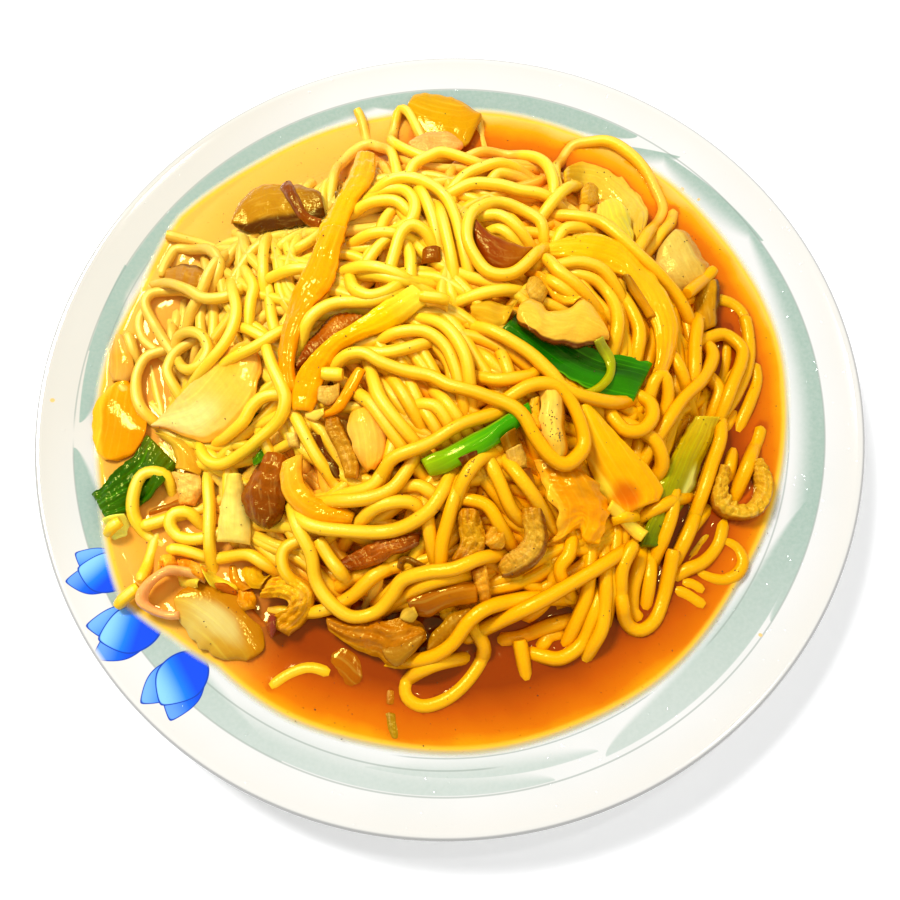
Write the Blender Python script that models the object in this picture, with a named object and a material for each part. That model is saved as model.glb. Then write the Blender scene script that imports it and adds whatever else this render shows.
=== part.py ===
"""Pork chow mein: noodles heaped in sauce on a round plate, with onion, mushroom, pork and greens on top.

Sizes are millimetres in the tables and functions below, and become metres where a mesh is made.
+Z is up and the origin is the middle of the foot ring's underside. -Y is the eater's side.
"""

import math
import random

import bmesh
import bpy
from mathutils import Vector
from mathutils.bvhtree import BVHTree
from mathutils.kdtree import KDTree

MM = 0.001
GAP = 0.3                       # air between pieces that touch
SHARP = math.radians(50)        # edges sharper than this aren't shaded smooth

# Plate
PLATE_RADIUS = 135.0
RIM_HEIGHT = 24.0
WALL = 3.2
FLOOR_TOP = 5.0                 # height of the flat well
FLOOR_RADIUS = 47.0             # the well is flat out to here
SIDE_CURVE = 202.0              # radius of the arc that the side follows
FLANGE_START = 116.0            # the arc ends here and the straight flange begins
FLANGE_END = 132.6
LIP = ((-1.0, 0.0), (0.0, 1.1), (-0.7, 2.6))    # points out from the radius and down from the rim
FOOT_OUTER = 78.0
FOOT_INNER = 71.0
FOOT_TAPER = 1.4                # the foot ring is wider by this much at its root, each side
FOOT_ROOT = 0.5                 # the ring's outer root lies this far under the side's last point
RECESS_HEIGHT = 2.1             # underside inside the foot ring
PLATE_SEGMENTS = 48
SIDE_STEPS = 6
UNDER_STEPS = 2                 # steps of the side that the underside skips, inside the foot ring

# Sauce
SAUCE_LEVEL = 17.2
SAUCE_EDGE = 0.25               # height of the sauce's thin outer edge
SAUCE_STEPS = 2

# Heap under the noodles
HEAP_CENTRE = (-3.0, 15.0)
HEAP_RADIUS = 95.0
HEAP_WAVES = ((2, 3.2, -2.2), (3, 2.2, 0.4), (5, 1.2, 1.0))     # count, size, phase
HEAP_EDGE = SAUCE_LEVEL + 1.0
HEAP_RISE = 27.0
HEAP_POWER = 2.2
HEAP_SEGMENTS = 40
HEAP_RINGS = (0.22, 0.42, 0.6, 0.76, 0.89, 1.0)         # shares of the radius, on top
HEAP_BASE_RINGS = (1.0, 0.89, 0.76, 0.6, 0.35)          # and underneath

# Noodles
NOODLE_RADIUS = 2.15
NOODLE_COUNT = 30
NOODLE_STEP = 4.2
NOODLE_STATIONS = 18
NOODLE_SINK = 0.55              # share of the radius that a noodle's axis stands above the heap
NOODLE_TRIES = 90
NOODLE_SHIFT = 11.0             # how far a try may start from its place in the pattern
NOODLE_REACH = 12.0             # how far a noodle may run out over the sauce
NOODLE_LEAST = 6                # stations in the shortest noodle
CROWDING_COST = 1.6             # stations of length that one station beside another noodle costs
PILE_LIMIT = 2.3                # highest a noodle rides over others, in radii
NOODLE_BEND = 0.06              # half of the tightest turn, in radians for each millimetre
NOODLE_SWING = (0.4, 1.0)       # share of the bend that winds to and fro
NOODLE_PACE = (0.04, 0.09)      # waves of the winding in each millimetre
CROSSING = 1.8 * NOODLE_RADIUS  # distance between the axes of two noodles that cross
CROWDED = 2.4 * NOODLE_RADIUS   # noodles closer than this crowd each other
TOPPING_CLEARANCE = NOODLE_RADIUS + 0.45
SEED = 11

# Colours and roughness: name: ((red, green, blue), roughness)
FINISHES = {
    "plate": ((0.83, 0.84, 0.78), 0.12),
    "sauce": ((0.62, 0.24, 0.02), 0.12),
    "noodles": ((0.93, 0.62, 0.05), 0.3),
    "leaf": ((0.03, 0.16, 0.01), 0.3),
    "scallion": ((0.25, 0.45, 0.03), 0.3),
    "onion": ((0.85, 0.52, 0.08), 0.2),
    "cabbage": ((0.88, 0.62, 0.22), 0.3),
    "mushroom": ((0.42, 0.22, 0.07), 0.35),
    "pork": ((0.78, 0.46, 0.2), 0.45),
}

# Toppings: name: (plan path from end to end, width, thickness). Later ones lie on earlier ones.
LEAVES = {
    "leaf_long": (((21, 14), (31, 7), (41, 0), (53, -3), (65, -6)), 12.0, 1.5),
}
LEAF_FOLDED = {
    "leaf_left": (((-114, -28), (-103, -19), (-90, -10)), 12.5, 2.2),
}
SCALLIONS = {
    "scallion_tube": (((-9, -31), (6, -24), (18, -19), (25, -14)), 6.2, 5.4),
    "scallion_stalk": (((84, -17), (75, -30), (66, -42), (58, -54)), 9.0, 5.0),
    "scallion_wedge": (((60, 65), (63, 54), (67, 45)), 6.4, 4.0),
}
CABBAGES = {
    "cabbage_speckled": (((31, -12), (31, -19), (32, -29)), 10.0, 4.4),
    "cabbage_stem": (((-67, -22), (-70, -32), (-69, -43)), 8.8, 4.0),
    "cabbage_fan": (((34, -36), (36, -42), (40, -54)), 15.0, 3.4),
}
ONIONS_UNDER = {
    "onion_petal_right": (((42, -16), (49, -27), (58, -40)), 13.0, 3.2),
    "onion_petal_big": (((-93, 0), (-77, 3), (-61, 11)), 18.0, 2.8),
    "onion_petal_low": (((-79, -62), (-74, -69), (-66, -78)), 15.5, 3.0),
    "onion_left_low": (((-112, 13), (-107, 2), (-104, -7)), 15.0, 2.6),
    "onion_left_high": (((-109, 36), (-106, 20)), 8.8, 2.4),
    "onion_top": (((-4, 114), (12, 112), (29, 106)), 8.6, 2.6),
    "onion_low": (((-17, -68), (-7, -67), (3, -65)), 7.6, 2.6),
    "onion_pale": (((-27, -12), (-25, -20), (-23, -30)), 8.0, 3.0),
    "onion_curve": (((-47, -22), (-49, -28), (-45, -36), (-35, -42)), 7.4, 3.4),
}
ONIONS_OVER = {
    "onion_strip_a": (((-18, 97), (-27, 73), (-32, 61), (-36, 52)), 7.0, 2.6),
    "onion_strip_b": (((-27, 55), (-30, 42), (-38, 30), (-46, 15), (-48, -2)), 7.0, 2.6),
    "onion_strip_c": (((-1, 29), (-14, 20), (-29, 11), (-41, 4), (-44, -6)), 7.6, 2.8),
    "onion_strip_d": (((-25, 2), (-30, -7), (-38, -12)), 4.6, 2.0),
    "onion_strip_right": (((52, 40), (66, 32), (73, 19), (73, 7), (66, -5)), 6.2, 2.6),
    "onion_ring": (((-79, -50), (-89, -49), (-97, -53), (-99, -59), (-94, -65)), 3.4, 6.5),
}
MUSHROOMS = {
    "mushroom_upper_left": (((-68, 78), (-52, 76), (-37, 71)), 10.5, 4.6),
    "mushroom_slice_left": (((-93, 55), (-79, 51)), 8.0, 3.4),
    "mushroom_loop": (((15, 42), (29, 38)), 11.0, 4.0),
    "mushroom_stem": (((78, 46), (90, 33)), 9.6, 5.6),
    "mushroom_right": (((90, 26), (92, 13)), 7.2, 4.0),
    "mushroom_gilled": (((-26, 19), (-34, 14), (-43, 8)), 8.0, 2.6),
    "mushroom_oval": (((-54, -20), (-58, -29), (-59, -38)), 10.8, 5.2),
    "mushroom_low": (((-40, -73), (-28, -77), (-16, -78)), 12.0, 5.0),
    "mushroom_small": (((-2, -73), (-8, -78), (-14, -83)), 6.4, 3.6),
}
MUSHROOM_FRONT = {
    "mushroom_front": (((27, 14), (34, 10), (42, 10), (52, 9)), 12.4, 5.2),
}
PORK = {
    "pork_hook": (((22, -45), (24, -51), (22, -57), (16, -60), (11, -62)), 6.2, 5.0),
    "pork_chunk_a": (((3, -42), (2, -56)), 6.8, 5.0),
    "pork_chunk_b": (((8, -48), (15, -49)), 5.6, 4.6),
    "pork_chunk_c": (((6, -61), (7, -70)), 6.2, 4.6),
    "pork_left": (((-84, -20), (-83, -31)), 7.4, 4.6),
    "pork_top": (((-3, 99), (15, 97)), 6.0, 4.0),
    "pork_folded": (((-60, -57), (-50, -61), (-49, -68), (-58, -71)), 8.0, 5.6),
    "pork_flat": (((-34, -54), (-23, -53), (-12, -51)), 7.6, 4.0),
    "pork_strand": (((-38, -13), (-35, -20), (-33, -29)), 6.4, 4.4),
    "pork_curl": (((84, -38), (81, -44), (86, -50), (95, -48), (98, -40), (96, -32)), 6.2, 6.4),
}

# Cross-sections, as shares of the thickness, across from v = -1 to v = 1
SIDE_OF_SECTION = 0.93          # the section stops short of its thin edge
LEAF_RIPPLE = 0.5
LEAF_WAVES = 9.0
FOLD = 1.1                      # rise of a folded leaf's middle
ARCH = 0.7                      # rise of a petal's middle
PETAL_EDGE = 0.45               # thickness that is left at a petal's edge
CAP_HOLLOW = 0.28
CAP_EDGE = 0.4
LUMP = 0.1                      # unevenness of meat along its length
LUMP_WAVES = 11.0
COLUMNS = 4                     # across a wide piece; a narrow one has one fewer
WIDE = 7.0
ROW_LENGTH = 6.0                # spacing of the sections along a piece
EASE_PASSES = 3                 # how stiffly a piece bridges what it lies on
SETTLE_STEP = 0.25              # a piece that still touches is lifted by this much
END_POWER = 3.0                 # roundness of a piece's ends in plan
SKY = 150.0                     # rays that look for the ground start from here


def new_material(name, finish):
    """A material of the piece's own, from its finish's colour and roughness."""
    colour, roughness = FINISHES[finish]
    material = bpy.data.materials.new(name)
    material.use_nodes = True
    shader = material.node_tree.nodes["Principled BSDF"]
    shader.inputs["Base Color"].default_value = (*colour, 1.0)
    shader.inputs["Roughness"].default_value = roughness
    shader.inputs["Metallic"].default_value = 0.0
    return material


def new_object(name, vertices, faces, finish):
    """A mesh object from millimetre points, with its own material and faces that point out."""
    mesh = bpy.data.meshes.new(name)
    mesh.from_pydata([Vector(v) * MM for v in vertices], [], faces)
    mesh.validate()
    shape = bmesh.new()
    shape.from_mesh(mesh)
    bmesh.ops.recalc_face_normals(shape, faces=shape.faces)
    shape.to_mesh(mesh)
    shape.free()
    mesh.shade_smooth()
    mesh.set_sharp_from_angle(angle=SHARP)
    obj = bpy.data.objects.new(name, mesh)
    mesh.materials.append(new_material(name, finish))
    bpy.context.scene.collection.objects.link(obj)
    return obj


def surface_of(obj):
    """The object's surface for ray casts and overlap tests, in metres."""
    depsgraph = bpy.context.evaluated_depsgraph_get()
    return BVHTree.FromObject(obj, depsgraph)


def plate_top(radius):
    """Height of the plate's upper face at a radius."""
    if radius <= FLOOR_RADIUS:
        return FLOOR_TOP
    reach = min(radius, FLANGE_START) - FLOOR_RADIUS
    height = FLOOR_TOP + SIDE_CURVE - math.sqrt(SIDE_CURVE ** 2 - reach ** 2)
    slope = math.tan(math.asin(reach / SIDE_CURVE))
    return height + max(0.0, radius - FLANGE_START) * slope


def build_plate():
    """A turned plate: flat well, curved side, straight flange, rounded lip and a foot ring."""
    side = [FLOOR_RADIUS + (FLANGE_START - FLOOR_RADIUS) * i / SIDE_STEPS for i in range(SIDE_STEPS + 1)]
    upper = [(0.0, FLOOR_TOP)] + [(r, plate_top(r)) for r in side + [FLANGE_END]]
    lip = [(PLATE_RADIUS + out, RIM_HEIGHT - down) for out, down in LIP]
    under_side = []
    for r in reversed(side[UNDER_STEPS + 1:]):
        lean = math.asin((r - FLOOR_RADIUS) / SIDE_CURVE)
        under_side.append((r + WALL * math.sin(lean), plate_top(r) - WALL * math.cos(lean)))
    foot = [(FOOT_OUTER + FOOT_TAPER, under_side[-1][1] - FOOT_ROOT), (FOOT_OUTER, 0.0), (FOOT_INNER, 0.0)]
    recess = [(FOOT_INNER - FOOT_TAPER, RECESS_HEIGHT), (0.0, RECESS_HEIGHT)]
    profile = upper + lip + under_side + foot + recess
    shape = bmesh.new()
    points = [shape.verts.new((r * MM, 0.0, z * MM)) for r, z in profile]
    edges = [shape.edges.new(pair) for pair in zip(points, points[1:])]
    bmesh.ops.spin(shape, geom=points + edges, axis=(0, 0, 1), cent=(0, 0, 0),
                   steps=PLATE_SEGMENTS, angle=math.tau, use_duplicate=False, use_merge=True)
    bmesh.ops.remove_doubles(shape, verts=shape.verts, dist=0.01 * MM)
    bmesh.ops.recalc_face_normals(shape, faces=shape.faces)
    mesh = bpy.data.meshes.new("plate")
    shape.to_mesh(mesh)
    shape.free()
    mesh.shade_smooth()
    mesh.set_sharp_from_angle(angle=SHARP)
    mesh.materials.append(new_material("plate", "plate"))
    plate = bpy.data.objects.new("plate", mesh)
    bpy.context.scene.collection.objects.link(plate)
    return plate


def heap_radius(angle):
    """Radius of the heap's wavy outline."""
    return HEAP_RADIUS + sum(size * math.sin(count * angle + phase) for count, size, phase in HEAP_WAVES)


def heap_top(x, y):
    """Height of the bare heap, or of the sauce beside it."""
    dx, dy = x - HEAP_CENTRE[0], y - HEAP_CENTRE[1]
    share = math.hypot(dx, dy) / heap_radius(math.atan2(dy, dx))
    if share >= 1.0:
        return SAUCE_LEVEL
    return HEAP_EDGE + HEAP_RISE * (1.0 - share ** HEAP_POWER)


def heap_point(angle, share, out=0.0):
    """Plan point at a share of the heap's radius, moved out by a distance."""
    reach = heap_radius(angle) * share + out
    return HEAP_CENTRE[0] + reach * math.cos(angle), HEAP_CENTRE[1] + reach * math.sin(angle)


def heap_angles():
    """Directions of the heap's segments."""
    return [math.tau * i / HEAP_SEGMENTS for i in range(HEAP_SEGMENTS)]


def stitch(rings, closed_loop):
    """Quads between rings of equal length; the last ring joins the first in a closed loop."""
    count = len(rings[0])
    pairs = list(zip(rings, rings[1:]))
    if closed_loop:
        pairs.append((rings[-1], rings[0]))
    faces = []
    for low, high in pairs:
        for i in range(count):
            j = (i + 1) % count
            faces.append((low[i], low[j], high[j], high[i]))
    return faces


def build_heap():
    """The packed inside of the noodle heap, from the well up to the dome under the top noodles."""
    vertices = [(*HEAP_CENTRE, HEAP_EDGE + HEAP_RISE)]
    rings = []
    for share, on_top in [(s, True) for s in HEAP_RINGS] + [(s, False) for s in HEAP_BASE_RINGS]:
        ring = []
        for angle in heap_angles():
            x, y = heap_point(angle, share)
            if on_top:
                z = HEAP_EDGE + HEAP_RISE * (1.0 - share ** HEAP_POWER)
            else:
                z = plate_top(math.hypot(x, y)) + GAP
            ring.append(len(vertices))
            vertices.append((x, y, z))
        rings.append(ring)
    bottom = len(vertices)
    vertices.append((*HEAP_CENTRE, FLOOR_TOP + GAP))
    faces = stitch(rings, False)
    for i in range(HEAP_SEGMENTS):
        j = (i + 1) % HEAP_SEGMENTS
        faces.append((0, rings[0][i], rings[0][j]))
        faces.append((bottom, rings[-1][j], rings[-1][i]))
    return new_object("noodles", vertices, faces, "noodles")


def sauce_radius():
    """Where the sauce's surface meets the plate."""
    rise = SAUCE_LEVEL - SAUCE_EDGE - GAP - FLOOR_TOP
    return FLOOR_RADIUS + math.sqrt(SIDE_CURVE ** 2 - (SIDE_CURVE - rise) ** 2)


def build_sauce():
    """A ring of sauce from the heap's wall out to the plate's side, with a level top."""
    outer = sauce_radius()
    vertices = []
    rings = [[] for _ in range(SAUCE_STEPS + 3)]
    for angle in heap_angles():
        inner_x, inner_y = heap_point(angle, 1.0, GAP)
        along = Vector((math.cos(angle), math.sin(angle)))
        start = Vector((inner_x, inner_y))
        half = start.dot(along)
        run = -half + math.sqrt(half ** 2 - start.length_squared + outer ** 2)
        column = []
        for i in range(SAUCE_STEPS + 1):
            spot = start + along * run * i / SAUCE_STEPS
            column.append((spot.x, spot.y, plate_top(spot.length) + GAP))
        column.append((*column[-1][:2], SAUCE_LEVEL))
        column.append((inner_x, inner_y, SAUCE_LEVEL))
        for ring, point in zip(rings, column):
            ring.append(len(vertices))
            vertices.append(point)
    return new_object("sauce", vertices, stitch(rings, True), "sauce")


def curve_point(path, t):
    """A point and direction at t from 0 to 1 on a smooth curve through the path's points."""
    knots = [Vector(p) for p in path]
    knots = [2 * knots[0] - knots[1]] + knots + [2 * knots[-1] - knots[-2]]
    spans = len(knots) - 3
    i = min(int(t * spans), spans - 1)
    s = t * spans - i
    a, b, c, d = knots[i:i + 4]
    square = 2 * a - 5 * b + 4 * c - d
    cube = 3 * b - a - 3 * c + d
    point = b + 0.5 * ((c - a) * s + square * s ** 2 + cube * s ** 3)
    slope = (c - a) + 2 * square * s + 3 * cube * s ** 2
    return point, slope.normalized()


def bulge(v):
    """Height of a half circle across a piece."""
    return math.sqrt(max(0.0, 1.0 - v * v))


def leaf_section(v, u):
    """A thin sheet that waves alike on both faces."""
    ripple = LEAF_RIPPLE * (1.0 + math.sin(LEAF_WAVES * u + 2.0 * v))
    return ripple, ripple + 1.0


def folded_section(v, u):
    """A sheet folded up along its middle."""
    fold = FOLD * (1.0 - abs(v))
    return fold, fold + 1.0


def petal_section(v, u):
    """An arched slice, thinner at its edges."""
    low = ARCH * (1.0 - v * v)
    return low, low + PETAL_EDGE + (1.0 - PETAL_EDGE) * bulge(v)


def cap_section(v, u):
    """A domed slice with a slight hollow underneath."""
    return CAP_HOLLOW * (1.0 - v * v), CAP_EDGE + (1.0 - CAP_EDGE) * bulge(v)


def round_section(v, u):
    """A round or oval stalk."""
    return 0.5 - 0.5 * bulge(v), 0.5 + 0.5 * bulge(v)


def meat_section(v, u):
    """A block with rounded shoulders, lumpy along its length."""
    lump = LUMP * math.sin(LUMP_WAVES * u + 2.0 * v)
    return LUMP * v ** 4, 1.0 - LUMP + lump - 3.0 * LUMP * v ** 4


# Section and the share of the width that is left at a piece's very end
SECTIONS = {
    "leaf": (leaf_section, 0.94),
    "fold": (folded_section, 0.85),
    "petal": (petal_section, 0.5),
    "cap": (cap_section, 0.5),
    "round": (round_section, 0.9),
    "meat": (meat_section, 0.72),
}


def ground(x, y, surfaces):
    """Highest surface under a point, in millimetres, never under the sauce's level."""
    highest = SAUCE_LEVEL
    for surface in surfaces:
        hit = surface.ray_cast(Vector((x, y, SKY)) * MM, Vector((0, 0, -1)))[0]
        if hit is not None:
            highest = max(highest, hit.z / MM)
    return highest


def eased(heights):
    """Raise each height to the mean of its neighbours, so that a piece bends gently."""
    rows, columns = len(heights), len(heights[0])
    for _ in range(EASE_PASSES):
        before = [row[:] for row in heights]
        for i in range(1, rows - 1):
            for j in range(columns):
                heights[i][j] = max(before[i][j], 0.5 * (before[i - 1][j] + before[i + 1][j]))
    return heights


def build_topping(name, spec, section, finish, surfaces):
    """A solid that follows its plan path over what it lies on, with a section that varies across it."""
    path, width, thickness = spec
    profile, end_width = SECTIONS[section]
    length = sum((Vector(b) - Vector(a)).length for a, b in zip(path, path[1:]))
    rows = max(3, round(length / ROW_LENGTH))
    columns = COLUMNS if width > WIDE else COLUMNS - 1
    places = []
    for i in range(rows + 1):
        u = i / rows
        middle, along = curve_point(path, u)
        across = Vector((-along.y, along.x))
        end = (1.0 - abs(2.0 * u - 1.0) ** END_POWER) ** (1.0 / END_POWER)
        half = 0.5 * width * (end_width + (1.0 - end_width) * end)
        row = []
        for j in range(columns + 1):
            v = -SIDE_OF_SECTION * math.cos(math.pi * j / columns)
            row.append((middle + across * half * v, v, u))
        places.append(row)
    lie = eased([[ground(*spot, surfaces) for spot, _, _ in row] for row in places])
    rise = GAP
    while True:
        topping = topping_mesh(name, places, lie, rise, thickness, profile, finish)
        body = surface_of(topping)
        if not any(body.overlap(surface) for surface in surfaces):
            return topping
        bpy.data.objects.remove(topping)
        rise += SETTLE_STEP


def topping_mesh(name, places, lie, rise, thickness, section, finish):
    """The topping's solid: its section set on the heights it lies on, both faces triangulated alike."""
    rows, columns = len(places), len(places[0])
    under, over = [], []
    for i in range(rows):
        for j in range(columns):
            spot, v, u = places[i][j]
            low, high = section(v, u)
            base = lie[i][j] + rise
            under.append((spot.x, spot.y, base + low * thickness))
            over.append((spot.x, spot.y, base + high * thickness))
    count = len(under)
    faces = []
    for i in range(rows - 1):
        for j in range(columns - 1):
            a = i * columns + j
            b, c, d = a + 1, a + columns + 1, a + columns
            faces += [(a, b, c), (a, c, d)]
            faces += [(count + c, count + b, count + a), (count + d, count + c, count + a)]
    border = list(range(columns))
    border += [i * columns + columns - 1 for i in range(1, rows)]
    border += [(rows - 1) * columns + j for j in range(columns - 2, -1, -1)]
    border += [i * columns for i in range(rows - 2, 0, -1)]
    for a, b in zip(border, border[1:] + border[:1]):
        faces.append((b, a, count + a, count + b))
    return new_object(name, under + over, faces, finish)


def build_toppings(surfaces):
    """Every topping, each lying on the bare heap, the plate, the sauce and the toppings before it."""
    groups = (
        (MUSHROOMS, "cap", "mushroom"),
        (ONIONS_UNDER, "petal", "onion"),
        (LEAVES, "leaf", "leaf"),
        (LEAF_FOLDED, "fold", "leaf"),
        (CABBAGES, "petal", "cabbage"),
        (SCALLIONS, "round", "scallion"),
        (PORK, "meat", "pork"),
        (ONIONS_OVER, "petal", "onion"),
        (MUSHROOM_FRONT, "cap", "mushroom"),
    )
    toppings = []
    for table, section, finish in groups:
        for name, spec in table.items():
            topping = build_topping(name, spec, section, finish, surfaces)
            surfaces.append(surface_of(topping))
            toppings.append(topping)
    return toppings


def clear_of(point, surfaces, distance):
    """True where a point in millimetres keeps its distance from every surface."""
    for surface in surfaces:
        if surface.find_nearest(Vector(point) * MM, distance * MM)[0] is not None:
            return False
    return True


def noodle_height(x, y):
    """Height of a noodle's axis: half sunk in the heap's skin, or lying on the sauce beside it."""
    on_sauce = SAUCE_LEVEL + GAP + NOODLE_RADIUS
    return max(on_sauce, heap_top(x, y) + NOODLE_SINK * NOODLE_RADIUS)


def route_from(start, heading, draw, toppings):
    """Walk a noodle's plan route until it is long enough or meets a topping or the plate's side."""
    bend = draw.uniform(-NOODLE_BEND, NOODLE_BEND)
    swing = draw.uniform(*NOODLE_SWING) * NOODLE_BEND
    pace = draw.uniform(*NOODLE_PACE)
    spot = Vector(start)
    route = []
    for i in range(NOODLE_STATIONS + 1):
        dx, dy = spot.x - HEAP_CENTRE[0], spot.y - HEAP_CENTRE[1]
        if math.hypot(dx, dy) > heap_radius(math.atan2(dy, dx)) + NOODLE_REACH:
            break
        height = noodle_height(spot.x, spot.y)
        if height - NOODLE_RADIUS - GAP < plate_top(spot.length):
            break
        if not clear_of((spot.x, spot.y, height), toppings, TOPPING_CLEARANCE):
            break
        if any((spot - old).length < CROWDED for old in route[:-2]):
            break
        route.append(spot.copy())
        turn = bend + swing * math.sin(pace * NOODLE_STEP * i * math.tau)
        heading += turn * NOODLE_STEP
        spot += Vector((math.cos(heading), math.sin(heading))) * NOODLE_STEP
    return route


def stacked(route, laid):
    """Lift a route in a gentle bow where it crosses noodles laid before, and end it where they pile up."""
    heights = []
    for p in route:
        lowest = noodle_height(p.x, p.y)
        height = lowest
        for spot, _, _ in laid.find_range((p.x, p.y, lowest), 2.0 * CROSSING):
            away = math.hypot(p.x - spot.x, p.y - spot.y)
            if away < CROSSING:
                height = max(height, spot.z + math.sqrt(CROSSING ** 2 - away ** 2))
        if height > lowest + PILE_LIMIT * NOODLE_RADIUS:
            break
        heights.append(height)
    for i in range(1, len(heights) - 1):
        heights[i] = max(heights[i], 0.5 * (heights[i - 1] + heights[i + 1]))
    return [Vector((p.x, p.y, z)) for p, z in zip(route, heights)]


def known_points(lines):
    """The stations of the noodles laid so far, ready to be searched."""
    points = [p for line in lines for p in line]
    tree = KDTree(max(1, len(points)))
    for i, p in enumerate(points):
        tree.insert(p, i)
    tree.balance()
    return tree


def score(line, laid):
    """A route is worth its length, less what it runs close beside other noodles."""
    crowded = sum(1 for p in line if laid.find_range(p, CROWDED))
    return len(line) - CROWDING_COST * crowded


def noodle_routes(toppings):
    """Routes spread over the heap on a sunflower pattern, each the best of several seeded tries."""
    draw = random.Random(SEED)
    golden = math.pi * (3.0 - math.sqrt(5.0))
    routes = []
    for i in range(NOODLE_COUNT):
        laid = known_points(routes)
        x, y = heap_point(i * golden, math.sqrt((i + 0.5) / NOODLE_COUNT))
        lines = []
        for _ in range(NOODLE_TRIES):
            shift_x = draw.uniform(-NOODLE_SHIFT, NOODLE_SHIFT)
            shift_y = draw.uniform(-NOODLE_SHIFT, NOODLE_SHIFT)
            route = route_from((x + shift_x, y + shift_y), draw.uniform(0, math.tau), draw, toppings)
            line = stacked(route, laid)
            if len(line) >= NOODLE_LEAST and all(clear_of(p, toppings, TOPPING_CLEARANCE) for p in line):
                lines.append(line)
        if lines:
            routes.append(max(lines, key=lambda line: score(line, laid)))
    return routes


def noodle_tube(name, line, collection):
    """A noodle: a six-sided tube with closed ends along its line."""
    curve = bpy.data.curves.new(name, "CURVE")
    curve.dimensions = "3D"
    curve.bevel_depth = NOODLE_RADIUS * MM
    curve.bevel_resolution = 1
    curve.use_fill_caps = True
    spline = curve.splines.new("POLY")
    spline.points.add(len(line) - 1)
    for point, place in zip(spline.points, line):
        point.co = (*(place * MM), 1.0)
    holder = bpy.data.objects.new(name, curve)
    collection.objects.link(holder)
    bpy.context.view_layer.update()
    mesh = bpy.data.meshes.new_from_object(holder.evaluated_get(bpy.context.evaluated_depsgraph_get()))
    bpy.data.objects.remove(holder)
    tube = bpy.data.objects.new(name, mesh)
    collection.objects.link(tube)


def keep_outer_shell(mesh):
    """Drop loose scraps and fill hollows that fusing closed, so one outer shell is left."""
    shape = bmesh.new()
    shape.from_mesh(mesh)
    bmesh.ops.remove_doubles(shape, verts=shape.verts, dist=0.005 * MM)
    bmesh.ops.triangulate(shape, faces=shape.faces)
    left = set(shape.faces)
    shells = []
    while left:
        shell = {left.pop()}
        frontier = list(shell)
        while frontier:
            face = frontier.pop()
            for edge in face.edges:
                for other in edge.link_faces:
                    if other in left:
                        left.remove(other)
                        shell.add(other)
                        frontier.append(other)
        shells.append(shell)
    shells.sort(key=len)
    scraps = [face for shell in shells[:-1] for face in shell]
    bmesh.ops.delete(shape, geom=scraps, context="FACES")
    shape.to_mesh(mesh)
    shape.free()


def fuse_noodles(heap, toppings):
    """Join the top noodles to the heap in one solid."""
    collection = bpy.data.collections.new("top_noodles")
    bpy.context.scene.collection.children.link(collection)
    for i, line in enumerate(noodle_routes(toppings)):
        noodle_tube(f"noodle_{i:02d}", line, collection)
    union = heap.modifiers.new("top_noodles", "BOOLEAN")
    union.operation = "UNION"
    union.operand_type = "COLLECTION"
    union.collection = collection
    union.solver = "EXACT"
    bpy.context.view_layer.update()
    fused = bpy.data.meshes.new_from_object(heap.evaluated_get(bpy.context.evaluated_depsgraph_get()))
    heap.modifiers.remove(union)
    keep_outer_shell(fused)
    heap.data = fused
    for tube in list(collection.objects):
        bpy.data.objects.remove(tube)
    bpy.data.collections.remove(collection)


def main():
    for obj in list(bpy.data.objects):
        bpy.data.objects.remove(obj)
    plate = build_plate()
    build_sauce()
    heap = build_heap()
    surfaces = [surface_of(plate), surface_of(heap)]
    toppings = build_toppings(surfaces)
    fuse_noodles(heap, [surface_of(topping) for topping in toppings])


main()
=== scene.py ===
"""Pork chow mein on its plate: the finished surfaces over the solid model.

Noodles, sauce, toppings and the glazed plate are built in millimetres and become metres in their
meshes. +Z is up, the plate's middle is the origin and -Y is the eater's side.
"""

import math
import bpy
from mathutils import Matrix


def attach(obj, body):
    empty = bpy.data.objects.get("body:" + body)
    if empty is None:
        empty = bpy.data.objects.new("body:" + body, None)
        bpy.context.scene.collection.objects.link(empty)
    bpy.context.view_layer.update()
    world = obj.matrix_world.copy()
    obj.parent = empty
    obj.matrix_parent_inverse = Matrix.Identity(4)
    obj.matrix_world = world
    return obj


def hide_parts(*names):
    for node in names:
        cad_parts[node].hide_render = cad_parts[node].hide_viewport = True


bl_info = {
    "name": "Pork chow mein",
    "version": (1, 0, 0),
    "blender": (4, 5, 0),
    "location": "View3D > Sidebar > Chow mein",
    "description": "Builds a plate of pork chow mein: noodles, sauce, toppings and plate",
    "category": "Add Mesh",
}

from functools import cache

import bmesh
import bpy
import numpy as np
from bpy.props import FloatProperty, FloatVectorProperty, IntProperty, PointerProperty
from mathutils import Matrix, Vector
from mathutils.bvhtree import BVHTree

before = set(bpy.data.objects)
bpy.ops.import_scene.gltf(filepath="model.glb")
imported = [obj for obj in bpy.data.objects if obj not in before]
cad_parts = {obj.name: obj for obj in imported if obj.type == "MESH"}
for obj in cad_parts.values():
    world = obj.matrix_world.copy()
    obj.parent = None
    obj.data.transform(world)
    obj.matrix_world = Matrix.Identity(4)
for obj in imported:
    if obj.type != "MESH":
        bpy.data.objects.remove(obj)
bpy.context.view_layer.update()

MM = 0.001

# Plate, as in the solid model
PLATE_RADIUS = 135.0
RIM_HEIGHT = 24.0
WALL = 3.2
FLOOR_TOP = 5.0
FLOOR_RADIUS = 47.0
SIDE_CURVE = 202.0
FLANGE_START = 116.0
FLANGE_END = 132.6
FOOT_OUTER = 78.0
FOOT_INNER = 71.0
FOOT_TAPER = 1.4
RECESS_HEIGHT = 2.1
LIP_ROUND = 1.3
LIP_MIDDLE = RIM_HEIGHT - 1.35
PLATE_SEGMENTS = 256

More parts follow.
